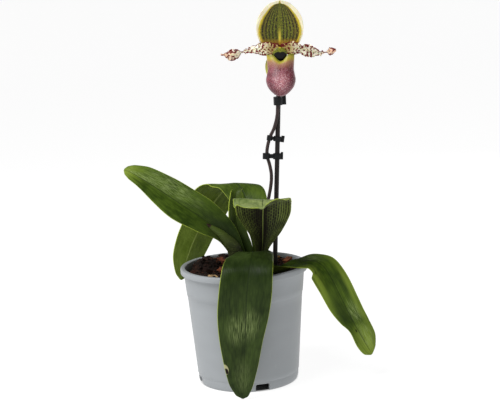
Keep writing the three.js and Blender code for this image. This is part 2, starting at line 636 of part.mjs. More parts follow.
const BRACT = [
  { at: [38.6, 8.6, 268.8], reach: [3.4, 3.4], lift: [30, 30], face: [0.1, -1, 0] },
  { at: [38.8, 9.8, 275], reach: [5, 5], lift: [32, 32], face: [0.1, -1, 0] },
  { at: [39.4, 11.8, 282], reach: [5, 5], lift: [32, 32], face: [0.1, -1, 0.1] },
  { at: [40, 13.6, 288], reach: [3.4, 3.4], lift: [26, 26], face: [0.1, -1, 0.2] },
  { at: [40.4, 14.8, 292], reach: [0.8, 0.8], lift: [12, 12], face: [0.1, -1, 0.2] },
];

// ---------------------------------------------------------------- putting it together

const finish = (colour, roughness) =>
  new THREE.MeshStandardMaterial({ color: colour, roughness, metalness: 0 });

const FINISHES = {
  plastic: finish("#a9b0b6", 0.45),
  compost: finish("#2c1c16", 0.95),
  bark: finish("#7c4a30", 0.9),
  leaf: finish("#3c6a22", 0.45),
  darkLeaf: finish("#33301d", 0.5),
  crown: finish("#4b4a22", 0.6),
  stem: finish("#2e1c1a", 0.7),
  stake: finish("#2a1f1c", 0.4),
  clip: finish("#15171a", 0.4),
  ovary: finish("#4a2c2a", 0.7),
  sepal: finish("#7d8a2e", 0.5),
  synsepal: finish("#a9b43a", 0.5),
  petal: finish("#e4d8bd", 0.55),
  pouch: finish("#a9606a", 0.4),
  staminode: finish("#4a4a16", 0.35),
};

const plant = new THREE.Group();
plant.position.set(-FOOTPRINT_CENTRE[0], -FOOTPRINT_CENTRE[1], 0);

function addPiece(name, solid, material) {
  const mesh = new THREE.Mesh(geometryOf(solid), material);
  mesh.name = name;
  plant.add(mesh);
}

const pot = potSolid();
const crown = (grow = 0) => stalk(CROWN.points, CROWN.radii, { steps: 6, sides: 14, grow });
const stem = cutBy(stemSolid(), [crown(GAP)]);

addPiece("pot", pot, FINISHES.plastic);
addPiece("crown", crown(), FINISHES.crown);
addPiece("stake", stakeSolid(), FINISHES.stake);
addPiece("flower_stem", stem, FINISHES.stem);
for (const [name, clip] of Object.entries(CLIPS)) {
  addPiece(name, clipSolid(clip), FINISHES.clip);
}

// Each leaf is cut clear of the crown, the stem, the stake and the leaves before it.
const inTheWay = [crown(GAP), stakeSolid(GAP), stemSolid(GAP)];
for (const name of Object.keys(LEAVES)) {
  const leaf = cutBy(leafSolid(name), inTheWay);
  addPiece(name, leaf, name === "dark_leaf" ? FINISHES.darkLeaf : FINISHES.leaf);
  inTheWay.push(leafSolid(name, GAP));
}

const chipsInTheWay = [...inTheWay];
CHIPS.forEach((chip, i) => {
  addPiece(`bark_chip_${i + 1}`, cutBy(chipSolid(chip, 0), chipsInTheWay), FINISHES.bark);
  chipsInTheWay.push(chipSolid(chip, GAP));
});
addPiece("compost", cutBy(compostSolid(), chipsInTheWay), FINISHES.compost);

// The flower's parts meet at the column, each cut clear of those before it.
const column = (grow = 0) =>
  stalk(COLUMN.points, COLUMN.radii, { steps: 8, sides: 12, grow, side: [1, 0, 0] });
const staminode = staminodeSolid();
addPiece("column", cutBy(column(), [staminode.translate([0, GAP, 0])]), FINISHES.ovary);
addPiece("staminode", staminode, FINISHES.staminode);
const ovary = (grow = 0) => stalk(OVARY.points, OVARY.radii, { steps: 12, sides: 10, grow });
addPiece("ovary", cutBy(ovary(), [column(GAP), stemSolid(GAP)]), FINISHES.ovary);
addPiece("bract", cutBy(blade(BRACT, { along: 6, across: 2, thickness: 1 }), [
  ovary(GAP),
  stemSolid(GAP),
  stakeSolid(GAP),
]), FINISHES.ovary);

const aroundColumn = [column(GAP), ovary(GAP)];
const flowerBlade = (stations, grow = 0) =>
  blade(stations, { along: 12, across: 6, thickness: PETAL_THICKNESS, grow });
addPiece("dorsal_sepal", cutBy(flowerBlade(DORSAL_SEPAL), aroundColumn), FINISHES.sepal);
aroundColumn.push(flowerBlade(DORSAL_SEPAL, GAP));
addPiece("synsepal", cutBy(flowerBlade(SYNSEPAL), aroundColumn), FINISHES.synsepal);
aroundColumn.push(flowerBlade(SYNSEPAL, GAP));
addPiece("left_petal", cutBy(petalSolid(LEFT_PETAL), aroundColumn), FINISHES.petal);
aroundColumn.push(petalSolid(LEFT_PETAL, GAP));
addPiece("right_petal", cutBy(petalSolid(RIGHT_PETAL), aroundColumn), FINISHES.petal);
aroundColumn.push(petalSolid(RIGHT_PETAL, GAP));
addPiece("pouch", cutBy(pouchSolid(), [...aroundColumn, staminode]), FINISHES.pouch);

export default plant;
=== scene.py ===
"""A slipper orchid (paphiopedilum hybrid) in flower, in a plastic nursery pot.

Metres, +Z up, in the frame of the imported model. Sizes in the sections are in millimetres from the pot's
axis at the level that the pot stands on, and at() turns them into the frame.
"""
import math
import random

import bmesh
import bpy
from mathutils import Matrix, Vector, noise


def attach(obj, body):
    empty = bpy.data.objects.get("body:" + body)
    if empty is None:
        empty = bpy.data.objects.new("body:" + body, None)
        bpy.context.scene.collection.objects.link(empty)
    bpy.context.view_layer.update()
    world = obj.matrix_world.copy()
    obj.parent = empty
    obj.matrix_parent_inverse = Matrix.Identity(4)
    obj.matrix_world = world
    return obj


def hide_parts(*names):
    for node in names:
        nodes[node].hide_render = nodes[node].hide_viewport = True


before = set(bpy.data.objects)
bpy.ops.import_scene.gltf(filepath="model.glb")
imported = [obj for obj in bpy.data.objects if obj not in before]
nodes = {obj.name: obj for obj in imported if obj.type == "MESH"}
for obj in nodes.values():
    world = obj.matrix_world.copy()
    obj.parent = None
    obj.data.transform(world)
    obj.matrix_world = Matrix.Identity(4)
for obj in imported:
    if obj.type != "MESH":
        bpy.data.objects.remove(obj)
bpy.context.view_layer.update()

# ---------------------------------------------------------------- camera
# A long lens a little over a metre away looks slightly down on the plant. It is turned a touch to one
# side, and leans as a hand-held camera does.

MM = 0.001
POT_AXIS = Vector((-7.51, 1.6, 0))  # where the pot's axis stands in the frame


def at(x, y, z):
    """A place in the frame, in metres, from millimetres about the pot's axis."""
    return (Vector((x, y, z)) + POT_AXIS) * MM


EYE = at(0, -1158, 365)
YAW, PITCH, ROLL = (math.radians(angle) for angle in (0.43, 9.45, -2.6))
FOCAL_MM, SENSOR_MM = 90, 36

ahead = Vector((math.sin(YAW) * math.cos(PITCH), math.cos(YAW) * math.cos(PITCH), -math.sin(PITCH)))
level = Vector((math.cos(YAW), -math.sin(YAW), 0))
above = level.cross(ahead)
across = level * math.cos(ROLL) + above * math.sin(ROLL)
upward = above * math.cos(ROLL) - level * math.sin(ROLL)

camera = bpy.data.objects.new("camera", bpy.data.cameras.new("camera"))
camera.data.lens = FOCAL_MM
camera.data.sensor_width = SENSOR_MM
camera.data.clip_start = 0.05
camera.matrix_world = Matrix.Translation(EYE) @ Matrix((across, upward, -ahead)).transposed().to_4x4()
bpy.context.scene.collection.objects.link(camera)
bpy.context.scene.camera = camera

# ---------------------------------------------------------------- studio
# A wide, very shallow bowl of lit white acrylic in a dim room, flat where the pot stands and with its glow
# cut out there as a painted shadow, with one large soft light high on the left and a tall narrow one behind
# on the right that draws the edges.


def linear(colour):
    """The linear values of an sRGB colour written as #rrggbb."""
    parts = (int(colour[i : i + 2], 16) / 255 for i in (1, 3, 5))
    return (*(c / 12.92 if c <= 0.04045 else ((c + 0.055) / 1.055) ** 2.4 for c in parts), 1.0)


def connect(tree, node, links):
    """Sets a node's inputs, each to a value, a #rrggbb colour, an output or a node's first live output."""
    for socket, source in links.items():
        if isinstance(source, bpy.types.Node):
            source = next(output for output in source.outputs if output.enabled)
        if isinstance(source, bpy.types.NodeSocket):
            tree.links.new(source, node.inputs[socket])
        else:
            node.inputs[socket].default_value = linear(source) if isinstance(source, str) else source


def add(tree, kind, links=None, stops=None, **settings):
    """A new shader node of a kind, with its settings, its inputs and, for a ramp, its stops."""
    node = tree.nodes.new("ShaderNode" + kind)
    for name, value in settings.items():
        setattr(node, name, value)
    connect(tree, node, links or {})
    if stops:
        elements = node.color_ramp.elements
        while len(elements) < len(stops):
            elements.new(0.5)
        for element, (place, colour) in zip(elements, stops):
            element.position = place
            element.color = linear(colour)
    return node


def start_finish(name, **values):
    """A new material, its node tree and its shader, with the values that are the same all over."""
    material = bpy.data.materials.new(name)
    material.use_nodes = True
    shader = material.node_tree.nodes["Principled BSDF"]
    for socket, value in values.items():
        shader.inputs[socket.replace("_", " ")].default_value = value
    return material, material.node_tree, shader


TABLE_HALF, TABLE_FLAT, TABLE_CURVE, TABLE_GRID = 70.0, 8.0, 0.0035, 40  # metres, and curve per metre
# Inside the first radius the glow is cut out as a painted shadow under the pot; by the second it is full
# again.
PAINTED_SHADOW_RADIUS, SHADOW_EDGE_RADIUS, TABLE_GLOW, ROOM_LIGHT = 0.043, 0.048, 0.92, 0.12

# Lit acrylic: matt white that glows evenly, with its glow cut out under the pot as a painted contact shadow.
acrylic, tree, shader = start_finish(
    "lit_white_acrylic", Roughness=0.8, Specular_IOR_Level=0.1, Base_Color=linear("#7c7c7c"),
    Emission_Color=linear("#ffffff"),
)
place = add(tree, "TexCoord").outputs["Object"]
from_pot = add(tree, "VectorMath", {0: place, 1: at(0, 0, 0)}, operation="DISTANCE")
glow = add(
    tree, "MapRange",
    {"Value": from_pot, "From Min": PAINTED_SHADOW_RADIUS, "From Max": SHADOW_EDGE_RADIUS, "To Max": TABLE_GLOW},
)
connect(tree, shader, {"Emission Strength": glow})

sheet = bmesh.new()
bmesh.ops.create_grid(sheet, x_segments=TABLE_GRID, y_segments=TABLE_GRID, size=TABLE_HALF)
for vert in sheet.verts:
    vert.co.z = TABLE_CURVE * max(vert.co.length - TABLE_FLAT, 0) ** 2
table = bpy.data.objects.new("light_table", bpy.data.meshes.new("light_table"))
sheet.to_mesh(table.data)
sheet.free()
for face in table.data.polygons:
    face.use_smooth = True
table.data.materials.append(acrylic)
bpy.context.scene.collection.objects.link(table)

room = bpy.data.worlds.new("dim_room")
room.use_nodes = True
connect(room.node_tree, room.node_tree.nodes["Background"], {"Color": "#ffffff", "Strength": ROOM_LIGHT})
bpy.context.scene.world = room
bpy.context.scene.view_settings.view_transform = "Standard"

SOFT_LIGHTS = {
    # name: place and aim (metres), width, height, power (watts)
    "key": ((-0.7, -0.55, 1.45), (0.0, 0.0, 0.18), 0.9, 0.9, 27),
    "edge": ((0.7, 1.3, 0.5), (0.0, 0.0, 0.12), 0.2, 1.1, 1.6),
}
for name, (stand, aim, width, height, power) in SOFT_LIGHTS.items():
    lamp = bpy.data.objects.new(name, bpy.data.lights.new(name, "AREA"))
    lamp.data.shape = "RECTANGLE"
    lamp.data.size = width
    lamp.data.size_y = height
    lamp.data.energy = power
    lamp.location = stand
    lamp.rotation_euler = (Vector(aim) - Vector(stand)).to_track_quat("-Z", "Y").to_euler()
    bpy.context.scene.collection.objects.link(lamp)

# ---------------------------------------------------------------- pot
# A thin-walled nursery pot, injection moulded in blue-grey polypropylene: a rolled rim, a stacking step,
# a slightly wider skirt, and a foot ring with four drain notches under a raised floor.

POT_HEIGHT, RIM_RADIUS, RIM_DEPTH, RIM_INNER = 111, 60, 5.5, 55.6
WALL, STEP_Z, SKIRT_Z, SKIRT_RADIUS, FOOT_RADIUS = 1.4, 84.5, 9.2, 48.2, 46.6
FLOOR_Z = 6
POT_STEPS = 144
NOTCHES, NOTCH_WIDTH, NOTCH_HEIGHT, FIRST_NOTCH = 4, 13, 7, -75
HOLE_WIDTH, PUNCH_CORNER = 8, 1.6
RIM_UNDER = POT_HEIGHT - RIM_DEPTH


def wall_radius(z):
    """The wall's outer radius between the skirt and the rim."""
    share = (z - SKIRT_Z) / (RIM_UNDER - SKIRT_Z)
    return SKIRT_RADIUS + (RIM_INNER + WALL - SKIRT_RADIUS) * share


def arc(centre, radius, first, last, points):
    """Points on an arc in the profile plane, from one angle in degrees to another."""
    turns = (math.radians(first + (last - first) * i / (points - 1)) for i in range(points))
    return [(centre[0] + radius * math.cos(turn), centre[1] + radius * math.sin(turn)) for turn in turns]


def turned(profile, steps):
    """A bmesh made by turning a profile of (radius, height) in millimetres about the upright axis."""
    bm = bmesh.new()
    corners = [bm.verts.new((r * MM, 0, z * MM)) for r, z in profile]
    edges = [bm.edges.new(pair) for pair in zip(corners, corners[1:])]
    bmesh.ops.spin(
        bm, geom=corners + edges, cent=(0, 0, 0), axis=(0, 0, 1), dvec=(0, 0, 0),
        angle=2 * math.pi, steps=steps, use_merge=True, use_duplicate=False,
    )
    bmesh.ops.remove_doubles(bm, verts=bm.verts, dist=1e-7)
    bmesh.ops.recalc_face_normals(bm, faces=bm.faces)
    return bm


def per_metre(*sizes):
    """How often a pattern repeats in a metre, from its size in millimetres or its sizes along x, y and z."""
    scales = tuple(1 / (size * MM) for size in sizes)
    return scales if len(scales) > 1 else scales[0]


def where(tree, *ranges):
    """A soft mask of the places where every measure has gone from the start of its range to the end.

    A range is (measure, start, end), or with a fourth number, how strong the mask gets.
    """
    mask = None
    for measure, start, end, *strength in ranges:
        full = strength[0] if strength else 1.0
        ramp = add(
            tree, "MapRange", {"Value": measure, "From Min": start, "From Max": end, "To Max": full},
            interpolation_type="SMOOTHSTEP",
        )
        mask = ramp if mask is None else add(tree, "Math", {0: mask, 1: ramp}, operation="MULTIPLY")
    return mask


def coated(tree, colour, *coats):
    """A colour under coats of others. A coat is its colour, then a mask or the ranges of one for where()."""
    for paint, *cover in coats:
        mask = where(tree, *cover) if isinstance(cover[0], tuple) else cover[0]
        colour = add(tree, "Mix", {0: mask, 6: colour, 7: paint}, data_type="RGBA")
    return colour


def piece(name, bm, materials, slot, *replaced, smooth=True):
    """A finished mesh as an object of the plant, with its materials and CAD nodes; slot is not used."""
    shape = bpy.data.objects.new(name, bpy.data.meshes.new(name))
    bm.to_mesh(shape.data)
    bm.free()
    for material in materials:
        shape.data.materials.append(material)
    for face in shape.data.polygons:
        face.use_smooth = smooth
    bpy.context.scene.collection.objects.link(shape)
    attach(shape, "root")
    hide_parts(*replaced)
    return shape


pot_profile = [
    (0, FLOOR_Z),
    (FOOT_RADIUS - WALL, FLOOR_Z),
    (FOOT_RADIUS - WALL, 0.4),
    (FOOT_RADIUS - WALL + 0.4, 0),
    (FOOT_RADIUS - 0.4, 0),
    (FOOT_RADIUS, 0.4),
    (SKIRT_RADIUS - 0.6, 3),
    (SKIRT_RADIUS - 0.3, SKIRT_Z - 1.1),
    (SKIRT_RADIUS - 0.3, SKIRT_Z - 0.3),
    (SKIRT_RADIUS - 0.05, SKIRT_Z),
    (wall_radius(SKIRT_Z) + 0.25, SKIRT_Z + 0.5),
    (wall_radius(SKIRT_Z + 4) + 0.1, SKIRT_Z + 4),
    (wall_radius(STEP_Z - 8) - 0.45, STEP_Z - 8),
    (wall_radius(STEP_Z) - 0.5, STEP_Z - 0.4),
    (wall_radius(STEP_Z) - 0.3, STEP_Z),
    (wall_radius(STEP_Z), STEP_Z + 0.5),
    (wall_radius(STEP_Z + 6), STEP_Z + 6),
    (wall_radius(RIM_UNDER - 1), RIM_UNDER - 1.2),
    (wall_radius(RIM_UNDER) + 0.3, RIM_UNDER - 0.3),
    (wall_radius(RIM_UNDER) + 0.8, RIM_UNDER),
    *arc((RIM_RADIUS - 0.7, RIM_UNDER + 0.7), 0.7, -90, 0, 4),
    *arc((RIM_RADIUS - 1.3, POT_HEIGHT - 1.3), 1.3, 0, 90, 6),
    *arc((RIM_INNER + 1.1, POT_HEIGHT - 1.1), 1.1, 90, 180, 5),
    (RIM_INNER - 0.1, RIM_UNDER),
    (wall_radius(STEP_Z) - WALL, STEP_Z),
    (wall_radius(SKIRT_Z) - WALL, SKIRT_Z + 1),
    *arc((wall_radius(SKIRT_Z) - WALL - 1.2, FLOOR_Z + WALL + 1.2), 1.2, 0, -90, 4),
    (0, FLOOR_Z + WALL),
]
bm = turned(pot_profile, POT_STEPS)
bmesh.ops.translate(bm, vec=at(0, 0, 0), verts=bm.verts)

# Moulded polypropylene: a satin skin with a very fine spark-eroded grain, faint flow bands from the mould,
# and paler scuffs.
plastic, tree, shader = start_finish(
    "moulded_polypropylene", Roughness=0.42, IOR=1.49, Specular_IOR_Level=0.3,
)
place = add(tree, "TexCoord").outputs["Object"]
flow = add(tree, "Mapping", {"Vector": place, "Scale": per_metre(45, 45, 18)})
bands = add(tree, "TexNoise", {"Vector": flow, "Scale": 1.0, "Detail": 4.0})
tone = add(tree, "ValToRGB", {"Fac": bands}, stops=[(0.25, "#969a9d"), (0.5, "#999da0"), (0.75, "#9ca0a3")])
scuffed = add(tree, "Mapping", {"Vector": place, "Scale": per_metre(3.8, 3.8, 25)})
scuff = add(tree, "TexNoise", {"Vector": scuffed, "Scale": 1.0, "Detail": 6.0})
worn = coated(tree, tone, ("#a8acaf", (scuff, 0.62, 0.78, 0.35)))
satin = add(tree, "MapRange", {"Value": bands, "To Min": 0.36, "To Max": 0.5})
spark = add(tree, "TexNoise", {"Vector": place, "Scale": per_metre(0.4), "Detail": 2.0})
skin = add(tree, "Bump", {"Height": spark, "Strength": 0.08, "Distance": 0.0002})
connect(tree, shader, {"Base Color": worn, "Roughness": satin, "Normal": skin})
pot = piece("pot_shell", bm, [plastic], "pot", "pot")

# The drain notches and holes are punched through the foot ring and the edge of the floor.
for i in range(NOTCHES):
    turn = math.radians(FIRST_NOTCH + i * 360 / NOTCHES - 90)
    for radius, size in (
        (FOOT_RADIUS + 1, (12, NOTCH_WIDTH, 2 * NOTCH_HEIGHT)),
        (FOOT_RADIUS - 5, (6, HOLE_WIDTH, 2 * FLOOR_Z + 4)),
    ):
        punch = bmesh.new()
        bmesh.ops.create_cube(punch, size=MM)
        bmesh.ops.scale(punch, vec=size, verts=punch.verts)
        bmesh.ops.bevel(
            punch, geom=[e for e in punch.edges if abs((e.verts[0].co - e.verts[1].co).x) > 1e-4],
            offset=PUNCH_CORNER * MM, offset_type="OFFSET", affect="EDGES", segments=5, profile=0.5,
            material=-1,
        )
        bmesh.ops.translate(punch, vec=(radius * MM, 0, 0), verts=punch.verts)
        bmesh.ops.rotate(punch, cent=(0, 0, 0), matrix=Matrix.Rotation(turn, 3, "Z"), verts=punch.verts)
        bmesh.ops.translate(punch, vec=at(0, 0, 0), verts=punch.verts)
        tool = bpy.data.objects.new("punch", bpy.data.meshes.new("punch"))
        punch.to_mesh(tool.data)
        punch.free()
        bpy.context.scene.collection.objects.link(tool)
        cut = pot.modifiers.new("notch", "BOOLEAN")
        cut.operation = "DIFFERENCE"
        cut.solver = "EXACT"
        cut.object = tool
        bpy.context.view_layer.update()
        cut_mesh = bpy.data.meshes.new_from_object(pot.evaluated_get(bpy.context.evaluated_depsgraph_get()))
        pot.modifiers.clear()
        pot.data = cut_mesh
        bpy.data.objects.remove(tool)

# ---------------------------------------------------------------- compost
# Dark, moist orchid compost: composted bark fines with crumbs and small chips standing out of it. It
# fills the pot to a few millimetres below the rim and mounds up against the back.

SOIL_TOP, SOIL_RADIUS = 104, 53.6
SOIL_SWELL, CRUMB_RISE, CLOD_RISE, SOIL_DROP = 0.7, 1.5, 1.1, 0.6
SOIL_EDGE = 3  # how wide the level strip along the wall is
SOIL_RINGS, SOIL_STEPS = 44, 132
HUMPS = [
    # x, y, reach, rise
    (-36, 24, 12.5, 10.5),
    (-18, 37, 10, 9),
    (-42, -12, 9, 3),
    (38, 30, 13, 4),
    (16, 40, 11, 4),
    (-20, -34, 11, 2.5),
    (30, -36, 10, 2),
    (10, 4, 16, 6),
]


def soil_height(x, y):
    """The level of the compost under a point, in millimetres, without its crumbs."""
    height = SOIL_TOP + SOIL_SWELL * math.sin(0.43 * x + 1.3) * math.cos(0.39 * y - 0.6)
    for hump_x, hump_y, reach, rise in HUMPS:
        height += rise * math.exp(-((math.hypot(x - hump_x, y - hump_y) / reach) ** 4))
    return height


soil_profile = [
    (0, FLOOR_Z + WALL + 0.3),
    (wall_radius(SKIRT_Z) - WALL - 2.2, FLOOR_Z + WALL + 0.3),
    (wall_radius(STEP_Z) - WALL - 1, STEP_Z),
    (SOIL_RADIUS, SOIL_TOP - 6),
    *((SOIL_RADIUS * (1 - i / SOIL_RINGS), SOIL_TOP) for i in range(SOIL_RINGS + 1)),
]
bm = turned(soil_profile, SOIL_STEPS)
for vert in bm.verts:
    if vert.co.z > (SOIL_TOP - 1) * MM:
        x, y = vert.co.x / MM, vert.co.y / MM
        crumb = noise.fractal(Vector((x, y, 3.0)) * 0.22, 0.8, 2.1, 4)
        clod = noise.noise(Vector((x, y, 9.0)) * 0.11)
        edge = min(1.0, (SOIL_RADIUS - math.hypot(x, y)) / SOIL_EDGE)
        vert.co.z = (soil_height(x, y) + (CRUMB_RISE * crumb + CLOD_RISE * clod - SOIL_DROP) * edge) * MM
bmesh.ops.translate(bm, vec=at(0, 0, 0), verts=bm.verts)

# Moist composted bark: nearly black brown, matt, with crumbs of warmer brown and dull wet glints.
humus, tree, shader = start_finish("moist_bark_compost", Roughness=0.85, Specular_IOR_Level=0.25)
place = add(tree, "TexCoord").outputs["Object"]
crumbs = add(tree, "TexVoronoi", {"Vector": place, "Scale": per_metre(2.4)})
damp = add(tree, "TexNoise", {"Vector": place, "Scale": per_metre(11), "Detail": 6.0})
earth = add(
    tree, "ValToRGB", {"Fac": crumbs.outputs["Color"]},
    stops=[(0.0, "#150d0a"), (0.45, "#22140e"), (0.8, "#3a2115"), (1.0, "#5a3522")],
)
gritty = add(tree, "Bump", {"Height": crumbs, "Strength": 0.9, "Distance": 0.0015})
fine = add(tree, "Bump", {"Height": damp, "Normal": gritty, "Strength": 0.6, "Distance": 0.001})
connect(tree, shader, {"Base Color": coated(tree, earth, ("#1a100c", damp)), "Normal": fine})
piece("compost_fill", bm, [humus], "compost", "compost")

# Crumbs and slivers of bark lie loose all over it, most of them as dark as the compost, a few tan.
CRUMBS, CRUMB_SIZES = 520, (1.3, 3.6)
LARGE_SHARE, LARGE_FACTOR = 0.12, 1.5
CRUMB_REACH = 0.955  # the share of the compost's radius that they lie within

chance = random.Random(7)
bm = bmesh.new()
shade = bm.faces.layers.float.new("shade")
for _ in range(CRUMBS):
    far = SOIL_RADIUS * math.sqrt(chance.random()) * CRUMB_REACH
    turn = chance.uniform(0, 2 * math.pi)
    x, y = far * math.cos(turn), far * math.sin(turn)
    size = chance.uniform(*CRUMB_SIZES) * (LARGE_FACTOR if chance.random() < LARGE_SHARE else 1)
    size = min(size, 2 * (SOIL_RADIUS + 0.6 - far) + 0.8)
    made = bmesh.ops.create_icosphere(bm, subdivisions=1, radius=size / 2 * MM)["verts"]
    for vert in made:
        vert.co *= chance.uniform(0.7, 1.15)
    stretch = (chance.uniform(0.9, 1.7), chance.uniform(0.7, 1.1), chance.uniform(0.45, 0.8))
    bmesh.ops.scale(bm, vec=stretch, verts=made)
    spun = Matrix.Rotation(chance.uniform(0, 2 * math.pi), 3, "Z")
    leaning = Matrix.Rotation(chance.uniform(-0.5, 0.5), 3, "X")
    bmesh.ops.rotate(bm, cent=(0, 0, 0), matrix=spun @ leaning, verts=made)
    bmesh.ops.translate(bm, vec=at(x, y, soil_height(x, y) + 0.25 * size - 0.5), verts=made)
    tint = chance.random()
    for face in {face for vert in made for face in vert.link_faces}:
        face[shade] = tint

# Bark crumbs: cork-like, matt, from black-brown to red-brown, with a few sun-bleached tan ones.
flecks, tree, shader = start_finish("bark_crumbs", Roughness=0.85, Specular_IOR_Level=0.2)
place = add(tree, "TexCoord").outputs["Object"]
each = add(tree, "Attribute", attribute_name="shade").outputs["Fac"]
hue = add(
    tree, "ValToRGB", {"Fac": each},
    stops=[(0.0, "#120b08"), (0.5, "#24150f"), (0.78, "#3d2217"), (0.93, "#6b3d28"), (1.0, "#9a6f47")],
)
cork = add(tree, "TexNoise", {"Vector": place, "Scale": per_metre(1.4), "Detail": 5.0})
pitted = add(tree, "Bump", {"Height": cork, "Strength": 0.8, "Distance": 0.0006})
connect(tree, shader, {"Base Color": coated(tree, hue, ("#1b110d", cork)), "Normal": pitted})
piece("compost_crumbs", bm, [flecks], "compost", "compost", smooth=False)

# ---------------------------------------------------------------- bark chips
# Ten larger chips of pine bark on top of the compost. Each is a weathered block of thin corky layers,
# red-brown where it is freshly broken and grey-tan where it has dried out.

CHIPS = [
    # x, y, length, width, height, turn, tilt, colour
    (-33, 4, 13, 9, 6, 20, 25, "#2a1812"),
    (-21, 27, 10, 8, 6, -35, 20, "#7d4630"),
    (-21, 5, 9, 8, 6, 60, -15, "#8a4f36"),
    (-29.5, -25, 10, 7, 6, 10, 8, "#b6966b"),
    (-45, -5, 8, 7, 5, 75, 12, "#3a2018"),
    (-5, 42, 12, 8, 5, 15, 10, "#4a2a1e"),
    (42.5, 23, 9, 7, 5, 40, -22, "#8c5338"),
    (32, 36, 8, 7, 5, -15, 18, "#94703a"),
    (-6, -42, 11, 7, 5, 5, -8, "#5b3424"),
    (12, -31, 9, 7, 5, -50, 10, "#3c241a"),
]
CHIP_CORNER, CHIP_ROUGHNESS, CHIP_SHRINK, CHIP_LOSS = 0.17, 0.1, 0.93, 0.1  # shares of a chip's size
BARK_LAYERS, LAYER_RELIEF = 22, 0.035

for i, (x, y, length, width, height, turn, tilt, colour) in enumerate(CHIPS, 1):
    bm = bmesh.new()
    bmesh.ops.create_cube(bm, size=1)
    bmesh.ops.bevel(
        bm, geom=list(bm.edges), offset=CHIP_CORNER, offset_type="OFFSET", affect="EDGES", segments=2,
        profile=0.5, material=-1,
    )
    bmesh.ops.subdivide_edges(bm, edges=list(bm.edges), cuts=3, use_grid_fill=True)
    for vert in bm.verts:
        spot = vert.co.copy()
        rough = noise.fractal(spot * 2.4 + Vector((i * 7.3, 0, 0)), 0.9, 2.2, 4)
        layers = LAYER_RELIEF * math.sin(BARK_LAYERS * spot.z + 3 * noise.noise(spot * 2))
        chip_off = CHIP_LOSS * noise.noise(spot * 1.3 + Vector((0, i * 5.1, 0)))
        outwards = Vector((spot.x, spot.y, 0)) * (layers + chip_off)
        vert.co = spot * (CHIP_SHRINK + CHIP_ROUGHNESS * rough) + outwards
    bmesh.ops.scale(bm, vec=Vector((length, width, height)) * MM, verts=bm.verts)
    bmesh.ops.rotate(
        bm, cent=(0, 0, 0), verts=bm.verts,
        matrix=Matrix.Rotation(math.radians(turn), 3, "Z") @ Matrix.Rotation(math.radians(tilt), 3, "Y"),
    )
    bmesh.ops.translate(bm, vec=at(x, y, soil_height(x, y) + 0.6), verts=bm.verts)

    # Pine bark: matt cork in thin plates that catch the light edge on, soiled by the compost.
    bark, tree, shader = start_finish(f"pine_bark_{i}", Roughness=0.88, Specular_IOR_Level=0.2)
    place = add(tree, "TexCoord").outputs["Object"]
    plates = add(
        tree, "Mapping",
        {"Vector": place, "Rotation": (0.2, math.radians(-tilt), 0), "Scale": per_metre(6.2, 6.2, 1.1)},
    )
    grainy = add(tree, "TexNoise", {"Vector": plates, "Scale": 1.0, "Detail": 6.0})
    patchy = add(tree, "TexNoise", {"Vector": place, "Scale": per_metre(3.8), "Detail": 3.0})
    layered = add(tree, "ValToRGB", {"Fac": grainy}, stops=[(0.3, "#1c100b"), (0.5, colour), (0.72, colour)])
    soiled = coated(tree, layered, ("#24150f", (patchy, 0.5, 0.68, 0.75)))
    ridged = add(tree, "Bump", {"Height": grainy, "Strength": 0.9, "Distance": 0.0008})
    connect(tree, shader, {"Base Color": soiled, "Normal": ridged})
    piece(f"bark_block_{i}", bm, [bark], "bark", f"bark_chip_{i}")

# ---------------------------------------------------------------- leaves
# Six strap leaves grow in two ranks from the crown. Each is one leathery blade, about 2 mm thick along
# its keeled midrib and thin at its pale, faintly wavy margins, and most of them arch over and hang.


def smooth_line(points, share, spacing=0.0):
    """The point a share of the way along a smooth line through points (spacing 0.5 makes it centripetal)."""
    last = len(points) - 1
    i = min(int(share * last), last - 1)
    t = share * last - i
    b, c = points[i], points[i + 1]
    a = points[i - 1] if i else 2 * b - c
    d = points[i + 2] if i + 2 <= last else 2 * c - b
    ab, bc, cd = (max((q - p).length, 1e-6) ** spacing for p, q in ((a, b), (b, c), (c, d)))
    leave = ((b - a) / ab - (c - a) / (ab + bc) + (c - b) / bc) * bc
    arrive = ((c - b) / bc - (d - b) / (bc + cd) + (d - c) / cd) * bc
    cubic = 2 * b - 2 * c + leave + arrive
    square = -3 * b + 3 * c - 2 * leave - arrive
    return ((cubic * t + square) * t + leave) * t + b


def direction(points, share):
    """The way that a centripetal smooth line runs at a share of its length."""
    after, before = (smooth_line(points, end, 0.5) for end in (min(share + 1e-3, 1), max(share - 1e-3, 0)))
    return (after - before).normalized()


